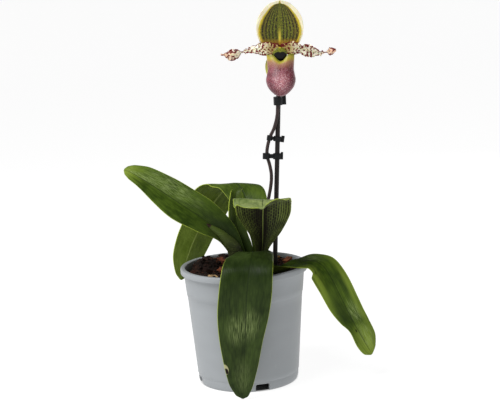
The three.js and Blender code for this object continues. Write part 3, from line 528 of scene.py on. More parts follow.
def blade(
    stations, along, across, thickness, swell=0.05, ripple=0.0, waves=6.0, seed=0.0, crease=0.06, thin=0.45
):
    """A leaf or petal blade as a bmesh with a closed upper and lower skin.

    A station is (midrib point, reach left and right, lift left and right in degrees, way the face looks).
    swell arches each half, ripple is the height of the margin's waves in millimetres, crease is how wide
    the soft fold along the midrib is, and thin is the margin's thickness as a share of the midrib's.
    The UV map runs across the blade in x and along it in y, and face material 1 is the lower skin.
    """
    middles = [Vector(s[0]) for s in stations]
    reaches = [Vector(s[1]) for s in stations]
    lifts = [Vector(s[2]) for s in stations]
    faces = [Vector(s[3]).normalized() for s in stations]
    bm = bmesh.new()
    bm.loops.layers.uv.new("UVMap")
    bmesh.ops.create_grid(bm, x_segments=across, y_segments=along, size=1, calc_uvs=True)
    skins = []
    for vert in bm.verts:
        side, share = vert.co.x, min(max((vert.co.y + 1) / 2, 0), 1)
        ahead = direction(middles, share)
        up = smooth_line(faces, share)
        up = (up - ahead * up.dot(ahead)).normalized()
        half = 0 if side < 0 else 1
        out = abs(side)
        reach = out * max(smooth_line(reaches, share)[half], 0.4)
        lift = math.radians(smooth_line(lifts, share)[half])
        fold = (math.hypot(out, crease) - crease) / max(out, 1e-6)
        wave = noise.noise(Vector((share * waves, seed + half * 4.7, 0.0)))
        rise = reach * math.sin(lift) * fold + swell * reach * math.sin(math.pi * out)
        rise += ripple * wave * out**3 * min(1, 6 * share)
        sideways = ahead.cross(up) * (math.copysign(1, side) * reach * math.cos(lift))
        point = smooth_line(middles, share, 0.5) + sideways + up * rise
        skins.append((vert, point, thickness * (1 - (1 - thin) * out**2)))
    for vert, point, _ in skins:
        vert.co = point
    bm.normal_update()
    half_thick = {vert: depth / 2 for vert, _, depth in skins}
    lower = bmesh.ops.duplicate(bm, geom=list(bm.verts) + list(bm.edges) + list(bm.faces))
    twins = lower["vert_map"]
    normals = {vert: vert.normal.copy() for vert in half_thick}
    for vert, depth in half_thick.items():
        vert.co += normals[vert] * depth
        twins[vert].co -= normals[vert] * depth
    under = [item for item in lower["geom"] if isinstance(item, bmesh.types.BMFace)]
    for face in under:
        face.material_index = 1
    bmesh.ops.reverse_faces(bm, faces=under)
    rims = [edge for edge in bm.edges if edge.is_boundary]
    bmesh.ops.bridge_loops(bm, edges=rims)
    bmesh.ops.recalc_face_normals(bm, faces=bm.faces)
    for vert in bm.verts:
        vert.co = at(*vert.co)
    return bm


def soften(shape):
    """Rounds a finished piece with a subdivision surface."""
    round_off = shape.modifiers.new("round", "SUBSURF")
    round_off.levels = round_off.render_levels = 1


LEAF_THICKNESS = 1.8
FRONT_FACE, RIGHT_FACE, BACK_FACE = (0.15, -0.85, 0.5), (0.3, -0.85, 0.3), (-0.3, 0.9, 0.1)
LEAVES = {
    "left_leaf": [
        ((1, 1, 106), (7, 7), (38, 38), (0.5, -0.5, 0.7)),
        ((-7, 0, 120), (8, 10), (34, 34), (0.3, -0.7, 0.6)),
        ((-18, -3, 139.5), (9.5, 15), (26, 26), (0.2, -0.8, 0.55)),
        ((-35.2, -8, 156.7), (15.5, 19), (16, 16), FRONT_FACE),
        ((-56.4, -14, 173.9), (18.5, 18.5), (11, 11), FRONT_FACE),
        ((-74, -18, 187.6), (14.5, 17), (9, 9), FRONT_FACE),
        ((-90, -21, 199.8), (9, 13.5), (8, 8), FRONT_FACE),
        ((-99.5, -22.2, 206.2), (6.6, 8.6), (6, 6), FRONT_FACE),
        ((-103.8, -22.8, 208.6), (4, 4.4), (4, 4), FRONT_FACE),
        ((-105.6, -23, 209.4), (0.6, 0.6), (4, 4), FRONT_FACE),
    ],
    "front_leaf": [
        ((11, -3, 106), (7, 7), (40, 40), (0, 0.9, 0.5)),
        ((11, -13, 120.5), (10, 11), (24, 24), (0, 0.7, 0.7)),
        ((10, -26, 127.2), (17, 20), (0, -4), (0, 0.15, 1)),
        ((8.6, -38, 127.8), (19, 24), (-2, -7), (0, -0.1, 1)),
        ((7, -52, 125.6), (20, 24.5), (-1, -5), (0, -0.4, 1)),
        ((5, -63, 118), (21, 25), (3, 1), (0, -1, 0.6)),
        ((1.8, -67.5, 100), (22.5, 25.5), (5, 5), (0, -1, 0.1)),
        ((-0.2, -68.5, 78), (20.5, 26), (5, 5), (0, -1, 0)),
        ((-1.8, -69, 54), (15.5, 23.5), (6, 6), (0, -1, 0)),
        ((-3.8, -69, 32), (12.5, 18.5), (7, 7), (0, -1, 0)),
        ((-5, -68.8, 13), (8, 13), (6, 6), (0, -1, 0)),
        ((-6.2, -68.5, 4), (4.6, 6.6), (3, 3), (0, -1, 0)),
        ((-6.6, -68.4, 1.4), (0.6, 0.6), (3, 3), (0, -1, 0)),
    ],
    "right_leaf": [
        ((17, 1, 106), (6, 7), (44, 50), (-0.3, 0.3, 1)),
        ((26, -14, 105.5), (8, 10), (46, 58), (-0.2, 0.1, 1)),
        ((33, -20, 106.2), (8, 10), (44, 56), (-0.1, 0, 1)),
        ((40, -22, 109), (8, 9.5), (38, 34), (-0.2, 0, 1)),
        ((46.5, -22, 112.4), (8, 9), (28, 0), (-0.2, 0, 1)),
        ((53, -21, 114.4), (9, 9), (12, -22), (0, -0.05, 1)),
        ((59.5, -18.5, 114.8), (11, 9.5), (-4, -34), (0.1, -0.3, 1)),
        ((68, -16.5, 113), (13, 15), (-6, -24), (0.3, -0.6, 0.8)),
        ((75.5, -17.5, 107.3), (14, 17.5), (4, 0), (0.3, -0.85, 0.35)),
        ((82.3, -19.5, 95), (15, 18.5), (9, 9), RIGHT_FACE),
        ((91, -21, 75), (15.5, 17), (9, 9), RIGHT_FACE),
        ((98, -22, 59.5), (15, 12.5), (9, 9), RIGHT_FACE),
        ((102.5, -23, 50), (15, 8.5), (9, 9), RIGHT_FACE),
        ((109, -24, 37.5), (13.5, 9.5), (9, 9), RIGHT_FACE),
        ((114, -24.4, 28), (7.5, 7), (6, 6), RIGHT_FACE),
        ((116.2, -24.6, 24), (0.8, 0.8), (4, 4), RIGHT_FACE),
    ],
    "back_leaf": [
        ((12.5, 8, 106), (6, 6), (44, 44), (0, -0.9, 0.4)),
        ((13.5, 13, 126), (6, 7), (40, 40), (0, -0.9, 0.4)),
        ((10.5, 23, 148), (9, 15), (20, 20), (0, -0.85, 0.5)),
        ((4.5, 36, 169), (16, 21), (6, 4), (0, -0.6, 0.8)),
        ((-3, 49, 180.2), (21, 22), (0, -12), (-0.05, 0, 1)),
        ((-12, 60, 177.5), (26, 20), (-3, -4), (-0.3, 0.6, 0.75)),
        ((-26.5, 66, 161), (25, 19), (2, 2), (-0.3, 0.9, 0.2)),
        ((-40, 64.5, 139.5), (19, 19), (5, 5), BACK_FACE),
        ((-50, 61, 121), (17.5, 18.5), (7, 7), BACK_FACE),
        ((-57, 55.5, 104.5), (14.5, 15), (7, 7), BACK_FACE),
        ((-61.5, 49, 92), (7, 6), (4, 4), BACK_FACE),
        ((-62.6, 46.5, 88), (0.8, 0.8), (3, 3), BACK_FACE),
    ],
    "centre_leaf": [
        ((5, 6, 110), (6, 6), (44, 44), (0.1, -0.9, 0.2)),
        ((1, 6, 126), (10, 8.6), (36, 36), (0.2, -0.95, 0.2)),
        ((-4, 7, 142), (11.5, 8.6), (30, 30), (0.3, -0.9, 0.2)),
        ((-6, 9, 158), (9.5, 10.5), (26, 26), (0.4, -0.9, 0.2)),
        ((-5.5, 12, 171), (7, 8), (20, 20), (0.4, -0.8, 0.4)),
        ((-3, 17, 179), (4.5, 5), (10, 10), (0.2, -0.3, 1)),
        ((1.5, 22, 180.5), (1.5, 1.5), (4, 4), (0.2, 0.2, 1)),
    ],
    "dark_leaf": [
        ((16, 0, 108), (5, 5), (40, 40), (0, 0.95, 0.2)),
        ((17.6, -6, 124), (7.5, 7), (30, 30), (0, 0.9, 0.3)),
        ((18.8, -15, 140), (18.5, 13.5), (18, 18), (0, 0.85, 0.5)),
        ((19.4, -27, 158), (26, 24), (13, 12), (0, 0.8, 0.6)),
        ((20, -40, 173), (26.5, 26), (9, 8), (0, 0.5, 0.85)),
        ((20, -53, 180), (25.5, 27), (-3, 4), (0, 0, 1)),
        ((19.5, -64, 179.5), (25, 26), (5, -4), (-0.05, -0.2, 1)),
        ((19, -71, 178), (22, 21), (15, 6), (-0.05, -0.3, 1)),
        ((18.8, -74.6, 177), (15, 13), (34, 4), (-0.05, -0.3, 1)),
        ((18.7, -76, 176.6), (3, 3), (36, 0), (-0.05, -0.3, 1)),
    ],
}

# How each leaf is finished: the darkest and lightest green of its upper and lower skin, how far up it the
# olive of the base runs, the height of the waves in its margins, and its length and width.
LEAF_LOOKS = {
    # name: upper dark, upper light, lower dark, lower light, olive, ripple, length, width
    "left_leaf": ("#2c3f0d", "#536a1f", "#44550f", "#687a22", 0.0, 1.2, 150, 37),
    "front_leaf": ("#1b280b", "#37471d", "#3a4a14", "#5c6a24", 0.0, 1.4, 170, 48),
    "right_leaf": ("#273a0b", "#4d631a", "#485310", "#6f7c28", 0.0, 1.5, 165, 33),
    "back_leaf": ("#2e400f", "#4f631e", "#43550f", "#60722a", 0.06, 1.6, 185, 44),
    "centre_leaf": ("#2a3a0c", "#48581e", "#304212", "#4a5b1e", 0.1, 0.8, 80, 22),
    "dark_leaf": ("#566832", "#929e62", "#39421e", "#6d7a3c", 0.05, 2.8, 125, 53),
}

# The paler, darker and damaged places of the upper skins: pale patches of painted highlight, yellow-green
# painted light, darkest green painted shade, dull olive at the base, a torn edge's pale tissue, and a scar.
# Painted highlight and painted light are streaked, and torn edges and scars are sharp.
PAINTED_HIGHLIGHT, PAINTED_LIGHT, PAINTED_SHADE, DULL = "#94a567", "#869a38", "#1b290c", "#35371f"
TORN, SCAR = "#a9a67c", "#1a110b"
LEAF_MARKS = {
    # name: across, along, half width, half length, strength, colour
    "left_leaf": [
        (0.76, 0.54, 0.34, 0.22, 0.75, PAINTED_HIGHLIGHT), (0.6, 0.86, 0.7, 0.16, 0.7, PAINTED_HIGHLIGHT),
        (0.5, 0.9, 1.0, 0.3, 0.9, PAINTED_LIGHT), (0.58, 0.72, 0.14, 0.24, 0.9, PAINTED_HIGHLIGHT),
        (0.52, 0.985, 0.12, 0.02, 0.8, DULL), (0.5, 0.17, 1.1, 0.28, 0.9, PAINTED_SHADE),
        (0.25, 0.14, 0.45, 0.2, 0.9, DULL),
    ],
    "front_leaf": [
        (0.4, 0.61, 0.32, 0.07, 0.55, PAINTED_HIGHLIGHT), (0.68, 0.63, 0.24, 0.07, 0.5, PAINTED_HIGHLIGHT),
        (0.5, 0.8, 0.4, 0.1, 0.35, PAINTED_HIGHLIGHT), (0.5, 0.42, 0.9, 0.16, 0.6, PAINTED_SHADE),
        (0.98, 0.762, 0.09, 0.02, 1.0, TORN), (0.96, 0.768, 0.055, 0.012, 1.0, SCAR),
    ],
    "right_leaf": [
        (0.3, 0.72, 0.3, 0.07, 0.7, PAINTED_HIGHLIGHT), (0.5, 0.94, 1.0, 0.2, 0.85, PAINTED_LIGHT),
        (0.35, 0.86, 0.4, 0.1, 0.6, PAINTED_HIGHLIGHT), (0.3, 0.42, 0.3, 0.1, 0.6, PAINTED_HIGHLIGHT),
        (1.0, 0.5, 0.36, 0.26, 0.95, PAINTED_LIGHT), (0.0, 0.66, 0.3, 0.26, 0.8, PAINTED_LIGHT),
        (0.7, 0.7, 0.3, 0.1, 0.5, PAINTED_SHADE), (0.62, 0.81, 0.05, 0.008, 0.9, SCAR),
    ],
    "back_leaf": [(0.3, 0.45, 0.3, 0.06, 0.4, PAINTED_HIGHLIGHT), (0.6, 0.72, 0.03, 0.008, 0.8, SCAR)],
    "centre_leaf": [(0.5, 0.1, 1.2, 0.5, 0.85, PAINTED_SHADE)],
    "dark_leaf": [],
}
VEIN_SPACING = 1.5
DASH_ROWS = 2.3  # between the rows of dashes under the dark leaf, where it is widest
MARGIN_WIDTH = 0.7


def halves(tree):
    """The UV map's vector, how far out from the midrib (0 to 1) and how far along a blade a point is."""
    chart = add(tree, "UVMap", uv_map="UVMap").outputs["UV"]
    split = add(tree, "SeparateXYZ", {"Vector": chart})
    offset = add(tree, "Math", {0: split, 1: 0.5}, operation="SUBTRACT")
    out = add(tree, "Math", {0: offset}, operation="ABSOLUTE")
    twice = add(tree, "Math", {0: out, 1: 2.0}, operation="MULTIPLY")
    return chart, twice, split.outputs["Y"]


def leaf_skin(name, dark, light, olive, length, width, marks, upper):
    """The upper or lower skin of a leaf, with its tree, shader, chart, distance out and colour.

    A waxy living leaf: green in soft clouds and small long cells, with fine parallel veins in relief, a dark
    groove (above) or a pale keel (below) along the midrib, and a thin yellow-green margin. The wax is uneven,
    so its gloss breaks up, and the upper skin has patches of painted highlight, painted light and painted
    shade.
    """
    skin, tree, shader = start_finish(name, Roughness=0.45, IOR=1.45, Specular_IOR_Level=0.13)
    chart, out, along = halves(tree)
    place = add(tree, "TexCoord").outputs["Object"]
    cloud = add(tree, "TexNoise", {"Vector": place, "Scale": per_metre(22), "Detail": 4.0})
    lengthwise = add(tree, "Mapping", {"Vector": chart, "Scale": (width / 3.4, length / 30, 1)})
    streaks = add(tree, "TexNoise", {"Vector": lengthwise, "Scale": 1.0, "Detail": 4.0})
    celled = add(tree, "Mapping", {"Vector": chart, "Scale": (width / 2.2, length / 5, 1)})
    cells = add(tree, "TexVoronoi", {"Vector": celled, "Scale": 1.0, "Smoothness": 0.6}, feature="SMOOTH_F1")
    highlight_breakup_map = add(tree, "Mapping", {"Vector": chart, "Scale": (width / 0.5, length / 6, 1)})
    highlight_breakup = add(tree, "TexNoise", {"Vector": highlight_breakup_map, "Scale": 1.0, "Detail": 5.0})
    tone = cloud
    for layer, share in ((streaks, 0.28), (cells, -0.34)):
        tone = add(tree, "Math", {0: layer, 1: share, 2: tone}, operation="MULTIPLY_ADD")
    green = add(tree, "ValToRGB", {"Fac": tone}, stops=[(0.26, dark), (0.7, light)])

    ribs = add(tree, "Math", {0: out, 1: math.pi * width / VEIN_SPACING}, operation="MULTIPLY")
    vein = add(tree, "Math", {0: ribs}, operation="COSINE")
    coats = [("#5f7434", (vein, 0.6, 1.0, 0.1)) if upper else ("#7d8c42", (vein, 0.6, 1.0, 0.3))]
    # Patches of painted highlight, painted light and painted shade on the upper skin, with torn edges and
    # scars.
    streaky = {PAINTED_HIGHLIGHT: [(highlight_breakup, 0.4, 0.68)], PAINTED_LIGHT: [(streaks, 0.15, 0.65)]}
    for across_mark, along_mark, wide, long, strength, paint in marks if upper else ():
        shift = add(tree, "VectorMath", {0: chart, 1: (across_mark, along_mark, 0)}, operation="SUBTRACT")
        spread = add(tree, "VectorMath", {0: shift, 1: (wide, long, 1)}, operation="DIVIDE")
        far = add(tree, "VectorMath", {0: spread}, operation="LENGTH")
        full = 0.8 if paint in (TORN, SCAR) else 0.2
        coats.append((paint, (far, 1.0, full, strength), *streaky.get(paint, [])))
    keel_width, margin = (1.2 if upper else 2.2) / width, MARGIN_WIDTH / width
    keel = where(tree, (out, keel_width, 0.3 * keel_width, 0.7))
    # The upper skin's groove along the midrib is darkened with painted shade; the lower skin's keel is pale.
    colour = coated(
        tree, green, *coats, ("#1c2810" if upper else "#84924a", keel),
        ("#3a3c1e", (along, olive + 0.02, 0.5 * olive, 0.85)),
        ("#a5b642", (out, 1 - 2 * margin, 1 - 0.8 * margin, 0.9), (along, 0.08, 0.4)),
    )

    wax = add(
        tree, "MapRange", {"Value": streaks, "From Min": 0.3, "From Max": 0.7, "To Min": 0.3, "To Max": 0.55},
    )
    grain = add(tree, "TexVoronoi", {"Vector": place, "Scale": per_metre(0.6)})
    relief = {}
    for height, strength, depth, sunk in (
        (vein, 0.2 if upper else 0.4, 0.0002, False),
        (keel, 0.6, 0.0006, upper),
        (cells, 0.2, 0.0003, True),
        (grain, 0.12, 0.0002, False),
    ):
        raised = {"Height": height, "Strength": strength, "Distance": depth, **relief}
        relief = {"Normal": add(tree, "Bump", raised, invert=sunk)}
    connect(tree, shader, {"Base Color": colour, "Roughness": wax, **relief})
    return skin, tree, shader, chart, out, colour


def net_over(tree, shader, chart, out, green, length, width):
    """Turns a lower skin purple-black, in rows of short dashes that thin out towards the margins."""
    wander = add(tree, "TexNoise", {"Vector": chart, "Scale": width / 7.6, "Detail": 3.0})
    shifted = add(
        tree, "VectorMath", {0: wander.outputs["Color"], 1: (0.03, 0.03, 0), 2: chart},
        operation="MULTIPLY_ADD",
    )
    cells = add(
        tree, "Mapping", {"Vector": shifted, "Rotation": (0, 0, math.pi / 2), "Scale": (width, length, 1)},
    )
    net = add(
        tree, "TexBrick",
        {"Vector": cells, "Scale": 1.0, "Mortar Size": 0.32, "Mortar Smooth": 0.6,
         "Brick Width": 3.1, "Row Height": DASH_ROWS, "Color1": (0, 0, 0, 1), "Color2": (0.15, 0.15, 0.15, 1),
         "Mortar": (0.7, 0.7, 0.7, 1)},
        offset=0.5,
    )
    rows = add(tree, "SeparateXYZ", {"Vector": shifted})
    turns = add(tree, "Math", {0: rows, 1: 2 * math.pi * width / DASH_ROWS}, operation="MULTIPLY")
    between = add(tree, "Math", {0: turns}, operation="COSINE")
    patchy = add(tree, "TexNoise", {"Vector": chart, "Scale": width / 5.9, "Detail": 4.0})
    rim = add(tree, "Math", {0: patchy, 1: 0.9, 2: out}, operation="MULTIPLY_ADD")
    one_half = where(tree, (rows, 0.48, 0.36, 0.3))
    greener = add(tree, "Math", {0: one_half, 1: rim}, operation="ADD")
    row_gap = add(tree, "Math", {0: between, 1: where(tree, (greener, 0.75, 1.6, 1.5))}, operation="ADD")
    mesh_share = add(tree, "Math", {0: net, 1: where(tree, (greener, 0.36, 1.1))}, operation="MULTIPLY")
    clear = add(
        tree, "Math", {0: mesh_share, 1: where(tree, (row_gap, 0.8, 1.6, 0.95))}, operation="MAXIMUM",
    )
    keeled = add(
        tree, "Math", {0: clear, 1: where(tree, (out, 1.4 / width, 0.5 / width, 0.7))}, operation="MAXIMUM",
    )
    netted = add(tree, "Mix", {0: keeled, 6: "#15100f", 7: green}, data_type="RGBA")
    connect(tree, shader, {"Base Color": netted})


for seed, (name, stations) in enumerate(LEAVES.items()):
    dark, light, under_dark, under_light, olive, ripple, length, width = LEAF_LOOKS[name]
    grown = (olive, length, width, LEAF_MARKS[name])
    upper_skin, *_ = leaf_skin(f"waxy_green_{name}", dark, light, *grown, upper=True)
    lower_skin, *inks = leaf_skin(f"pale_underside_{name}", under_dark, under_light, *grown, upper=False)
    if name == "dark_leaf":
        net_over(*inks, length, width)
    bm = blade(
        stations, along=72, across=20, thickness=LEAF_THICKNESS, ripple=ripple, waves=9, seed=3.1 * seed,
    )
    slot = "dark_leaf" if name == "dark_leaf" else "leaf"
    soften(piece(f"{name}_blade", bm, [upper_skin, lower_skin], slot, name))

# ---------------------------------------------------------------- crown
# The short clump that the leaves and the flower stem grow from: leaf bases wrapped round each other, dark
# brown to olive.

CROWN_LINE = [(9, 5, 90), (9, 5, 103), (9, 4, 112), (9.5, 4, 116), (9.6, 4, 117)]
CROWN_RADII = [7.6, 8.9, 7.8, 5.2, 3]
CROWN_FOLDS, FOLD_TWIST = 5, 60  # round the crown, and radians per metre of its height
FOLD_DEPTH, DENT_DEPTH, CROWN_SHRINK = 0.05, 0.03, 0.06  # shares of its radius


def tube(points, radii, steps, sides, side=(0, 1, 0)):
    """A round stalk as a bmesh, along a smooth line through points, with a radius at each of them.

    side is a direction that the line never runs along.
    """
    middles = [Vector(point) for point in points]
    sizes = [Vector((radius, 0)) for radius in radii]

    def section(share):
        ahead = direction(middles, share)
        across = Vector(side).cross(ahead).normalized()
        radius = max(smooth_line(sizes, share).x, 0.2)
        matrix = Matrix((across * radius, ahead.cross(across) * radius, ahead)).transposed().to_4x4()
        matrix.translation = smooth_line(middles, share, 0.5)
        return matrix

    bm = bmesh.new()
    verts = bmesh.ops.create_circle(bm, cap_ends=False, segments=sides, radius=1)["verts"]
    edges = list(bm.edges)
    bmesh.ops.transform(bm, matrix=section(0), verts=verts)
    for i in range(1, steps + 1):
        grown = bmesh.ops.extrude_edge_only(bm, edges=edges)["geom"]
        verts = [item for item in grown if isinstance(item, bmesh.types.BMVert)]
        edges = [item for item in grown if isinstance(item, bmesh.types.BMEdge) and item.is_boundary]
        bmesh.ops.transform(bm, matrix=section(i / steps) @ section((i - 1) / steps).inverted(), verts=verts)
    bmesh.ops.holes_fill(bm, edges=bm.edges, sides=0)
    bmesh.ops.recalc_face_normals(bm, faces=bm.faces)
    for vert in bm.verts:
        vert.co = at(*vert.co)
    return bm


bm = tube(CROWN_LINE, CROWN_RADII, steps=24, sides=48)
middle = at(9, 5, 0)
for vert in bm.verts:
    turn = math.atan2(vert.co.y - middle.y, vert.co.x - middle.x)
    folds = FOLD_DEPTH * math.sin(CROWN_FOLDS * turn + FOLD_TWIST * vert.co.z)
    dents = DENT_DEPTH * noise.noise(vert.co * 300)
    vert.co += Vector((vert.co.x - middle.x, vert.co.y - middle.y, 0)) * (folds + dents - CROWN_SHRINK)

# Leaf bases: dark brown to dull olive in streaks running up them, in fine relief.
sheaths, tree, shader = start_finish("olive_leaf_bases", Roughness=0.6, IOR=1.45, Specular_IOR_Level=0.25)
place = add(tree, "TexCoord").outputs["Object"]
upright = add(tree, "Mapping", {"Vector": place, "Scale": per_metre(1.1, 1.1, 17)})
fibres = add(tree, "TexNoise", {"Vector": upright, "Scale": 1.0, "Detail": 4.0})
hue = add(tree, "ValToRGB", {"Fac": fibres}, stops=[(0.3, "#1c150f"), (0.5, "#2f2c18"), (0.7, "#4a4a26")])
ridged = add(tree, "Bump", {"Height": fibres, "Strength": 0.5, "Distance": 0.0005})
connect(tree, shader, {"Base Color": hue, "Normal": ridged})
soften(piece("crown_bases", bm, [sheaths], "crown", "crown"))

# ---------------------------------------------------------------- leaf sheath
# The base of the left leaf is rolled into a thick stalk. It tapers up along the leaf's underside and ends
# in a small brown scar.

SHEATH_LINE = [
    (-1, 1, 108), (-6.5, -2, 119.6), (-8.9, -4, 127.9), (-14.2, -6, 135.3), (-20.4, -7.5, 142.5),
    (-27.2, -8.5, 148.3), (-33, -9, 153),
]
SHEATH_RADII = [6.9, 7.1, 6.7, 5.5, 4.1, 2.7, 1]
SHEATH_LEAN = -38  # degrees from upright, which way its ribs run


def uneven_skin(bm, sway, closeness):
    """Shifts a mesh's points softly, by up to a sway in millimetres along x, y and z."""
    for vert in bm.verts:
        vert.co += Vector(sway) * MM * noise.noise(vert.co * closeness)


bm = tube(SHEATH_LINE, SHEATH_RADII, steps=60, sides=32)
uneven_skin(bm, sway=(0.25, 0.1, 0.2), closeness=120)

# The leaf's rolled base: dull olive with dark purple-brown specks in rows, faintly ribbed, brown scar.
rolled_base, tree, shader = start_finish(
    "speckled_olive_sheath", Roughness=0.5, IOR=1.45, Specular_IOR_Level=0.25,
)
place = add(tree, "TexCoord").outputs["Object"]
ribbed = add(
    tree, "Mapping",
    {"Vector": place, "Rotation": (0, math.radians(SHEATH_LEAN), 0), "Scale": per_metre(6.2, 1.1, 1.1)},
)
ribs = add(tree, "TexNoise", {"Vector": ribbed, "Scale": 1.0, "Detail": 3.0})
hue = add(tree, "ValToRGB", {"Fac": ribs}, stops=[(0.3, "#202311"), (0.52, "#33381d"), (0.72, "#4c532a")])
specks = add(tree, "TexVoronoi", {"Vector": place, "Scale": per_metre(1.6)})
tip = add(tree, "VectorMath", {0: place, 1: at(*SHEATH_LINE[-1])}, operation="DISTANCE")
olive = coated(
    tree, hue, ("#1b140f", (specks, 0.4, 0.2, 0.75)), ("#435419", (tip, 0.045, 0.01, 0.75)),
    ("#24140c", (tip, 0.0056, 0.0038)),
)
ridged = add(tree, "Bump", {"Height": ribs, "Strength": 0.5, "Distance": 0.0005})
connect(tree, shader, {"Base Color": olive, "Normal": ridged})
soften(piece("left_leaf_sheath", bm, [rolled_base], "leaf", "left_leaf"))

# ---------------------------------------------------------------- stake
# A thin bamboo cane, stained almost black, pushed into the compost beside the stem. It has low rings where
# its joints were trimmed, and cleanly cut ends.

STAKE_BOTTOM, STAKE_TOP, STAKE_RADIUS = (24.4, 8, 20), (39.8, 8, 270), 2.3
STAKE_JOINTS, JOINT_LENGTH = (0.31, 0.66), 0.006  # shares of its length
JOINT_RISE, END_BEVEL, SANDED = 0.06, 0.35, 0.07
STAKE_STEPS = 100

line, radii = [], []
for i in range(STAKE_STEPS + 1):
    share = i / STAKE_STEPS
    line.append(Vector(STAKE_BOTTOM).lerp(Vector(STAKE_TOP), share))
    joint = sum(math.exp(-(((share - height) / JOINT_LENGTH) ** 2)) for height in STAKE_JOINTS)
    end = END_BEVEL if i in (0, STAKE_STEPS) else 0.0
    radii.append(STAKE_RADIUS - SANDED + JOINT_RISE * joint - end)
bm = tube(line, radii, STAKE_STEPS, sides=24)

# Stained bamboo: black-brown, satin, with fine long fibres and a few worn warmer streaks.
cane, tree, shader = start_finish("stained_bamboo", Roughness=0.42, IOR=1.5, Specular_IOR_Level=0.25)
place = add(tree, "TexCoord").outputs["Object"]
upright = add(tree, "Mapping", {"Vector": place, "Scale": per_metre(0.7, 0.7, 33)})
fibres = add(tree, "TexNoise", {"Vector": upright, "Scale": 1.0, "Detail": 4.0})
hue = add(tree, "ValToRGB", {"Fac": fibres}, stops=[(0.3, "#0e0a0a"), (0.55, "#1a1413"), (0.75, "#332522")])
satin = add(tree, "MapRange", {"Value": fibres, "To Min": 0.3, "To Max": 0.55})
ridged = add(tree, "Bump", {"Height": fibres, "Strength": 0.35, "Distance": 0.0003})
connect(tree, shader, {"Base Color": hue, "Roughness": satin, "Normal": ridged})
piece("bamboo_cane", bm, [cane], "stake", "stake")

# ---------------------------------------------------------------- flower stem
# A slender purple-black stalk that leaves the crown, bows out beside the stake between the clips, and is
# covered in short soft hairs.

STEM_RADIUS = 1.65 - 0.05  # a little less than the CAD model's, to make room for the hairs
STEM_LINE = [
    (13, 5, 116.6), (16.2, 5, 124), (18.9, 5.4, 132.4), (22.1, 6.2, 151.4), (24.8, 7.2, 165.5),
    (27.4, 7.9, 176), (29.4, 8, 186), (29.9, 8, 195), (28.6, 8, 204.4), (26.8, 8, 211.6), (26.7, 8, 216.5),
    (27.8, 7.6, 222.5), (30.4, 6.6, 230.5), (34.2, 4.7, 238.2), (37, 3.6, 247.5), (38.7, 3.5, 259.5),
    (39.6, 3.8, 272),
]
STEM_HAIRS, HAIR_LENGTH = 900, 0.55
HAIR_ROOT, HAIR_TIP = 0.045, 0.008


def hairs(bm, count, seed):
    """Adds short tapering hairs that stand on a mesh's faces, more of them on larger faces."""
    chance = random.Random(seed)
    bm.normal_update()
    faces = list(bm.faces)
    weights = [face.calc_area() for face in faces]
    for face in chance.choices(faces, weights, k=count):
        mix = [chance.random() + 0.05 for _ in face.verts]
        root = sum((vert.co * part for vert, part in zip(face.verts, mix)), Vector()) / sum(mix)
        lean = Vector((chance.uniform(-1, 1), chance.uniform(-1, 1), chance.uniform(-1, 1))) * 0.35
        ahead = (face.normal + lean).normalized()
        size = HAIR_LENGTH * chance.uniform(0.6, 1.0) * MM
        stand = ahead.to_track_quat("Z", "Y").to_matrix().to_4x4()
        stand.translation = root + ahead * (size / 2)
        bmesh.ops.create_cone(
            bm, cap_ends=True, segments=3, radius1=HAIR_ROOT * MM, radius2=HAIR_TIP * MM, depth=size,
            matrix=stand,
        )


def downy_stalk(name, dark, light):
    """A living stalk under short down: purple-brown, streaked with green along its length, soft sheen."""
    skin, tree, shader = start_finish(name, Roughness=0.62, IOR=1.45, Sheen_Weight=0.12, Sheen_Roughness=0.5)
    place = add(tree, "TexCoord").outputs["Object"]
    upright = add(tree, "Mapping", {"Vector": place, "Scale": per_metre(1.4, 1.4, 11)})
    streaks = add(tree, "TexNoise", {"Vector": upright, "Scale": 1.0, "Detail": 3.0})
    hue = add(tree, "ValToRGB", {"Fac": streaks}, stops=[(0.35, dark), (0.7, light)])
    pores = add(tree, "TexNoise", {"Vector": place, "Scale": per_metre(0.4), "Detail": 2.0})
    rough = add(tree, "Bump", {"Height": pores, "Strength": 0.4, "Distance": 0.0002})
    connect(tree, shader, {"Base Color": hue, "Normal": rough})
    return skin


bm = tube(STEM_LINE, [STEM_RADIUS] * len(STEM_LINE), steps=120, sides=18)
uneven_skin(bm, sway=(0.12, 0.12, 0), closeness=160)
hairs(bm, STEM_HAIRS, seed=11)
piece("downy_stem", bm, [downy_stalk("downy_purple_stem", "#1b1010", "#372320")], "stem", "flower_stem")

# ---------------------------------------------------------------- clips
# Three small black clips hold the stem to the stake. Each is one moulding: a wide open ring for the stake,
# a smaller one for the stem, a web between them and a finger tab.

CLIP_ROUNDING, CLIP_CORNER = 0.6, 35  # millimetres, and the angle in degrees from which an edge is rounded

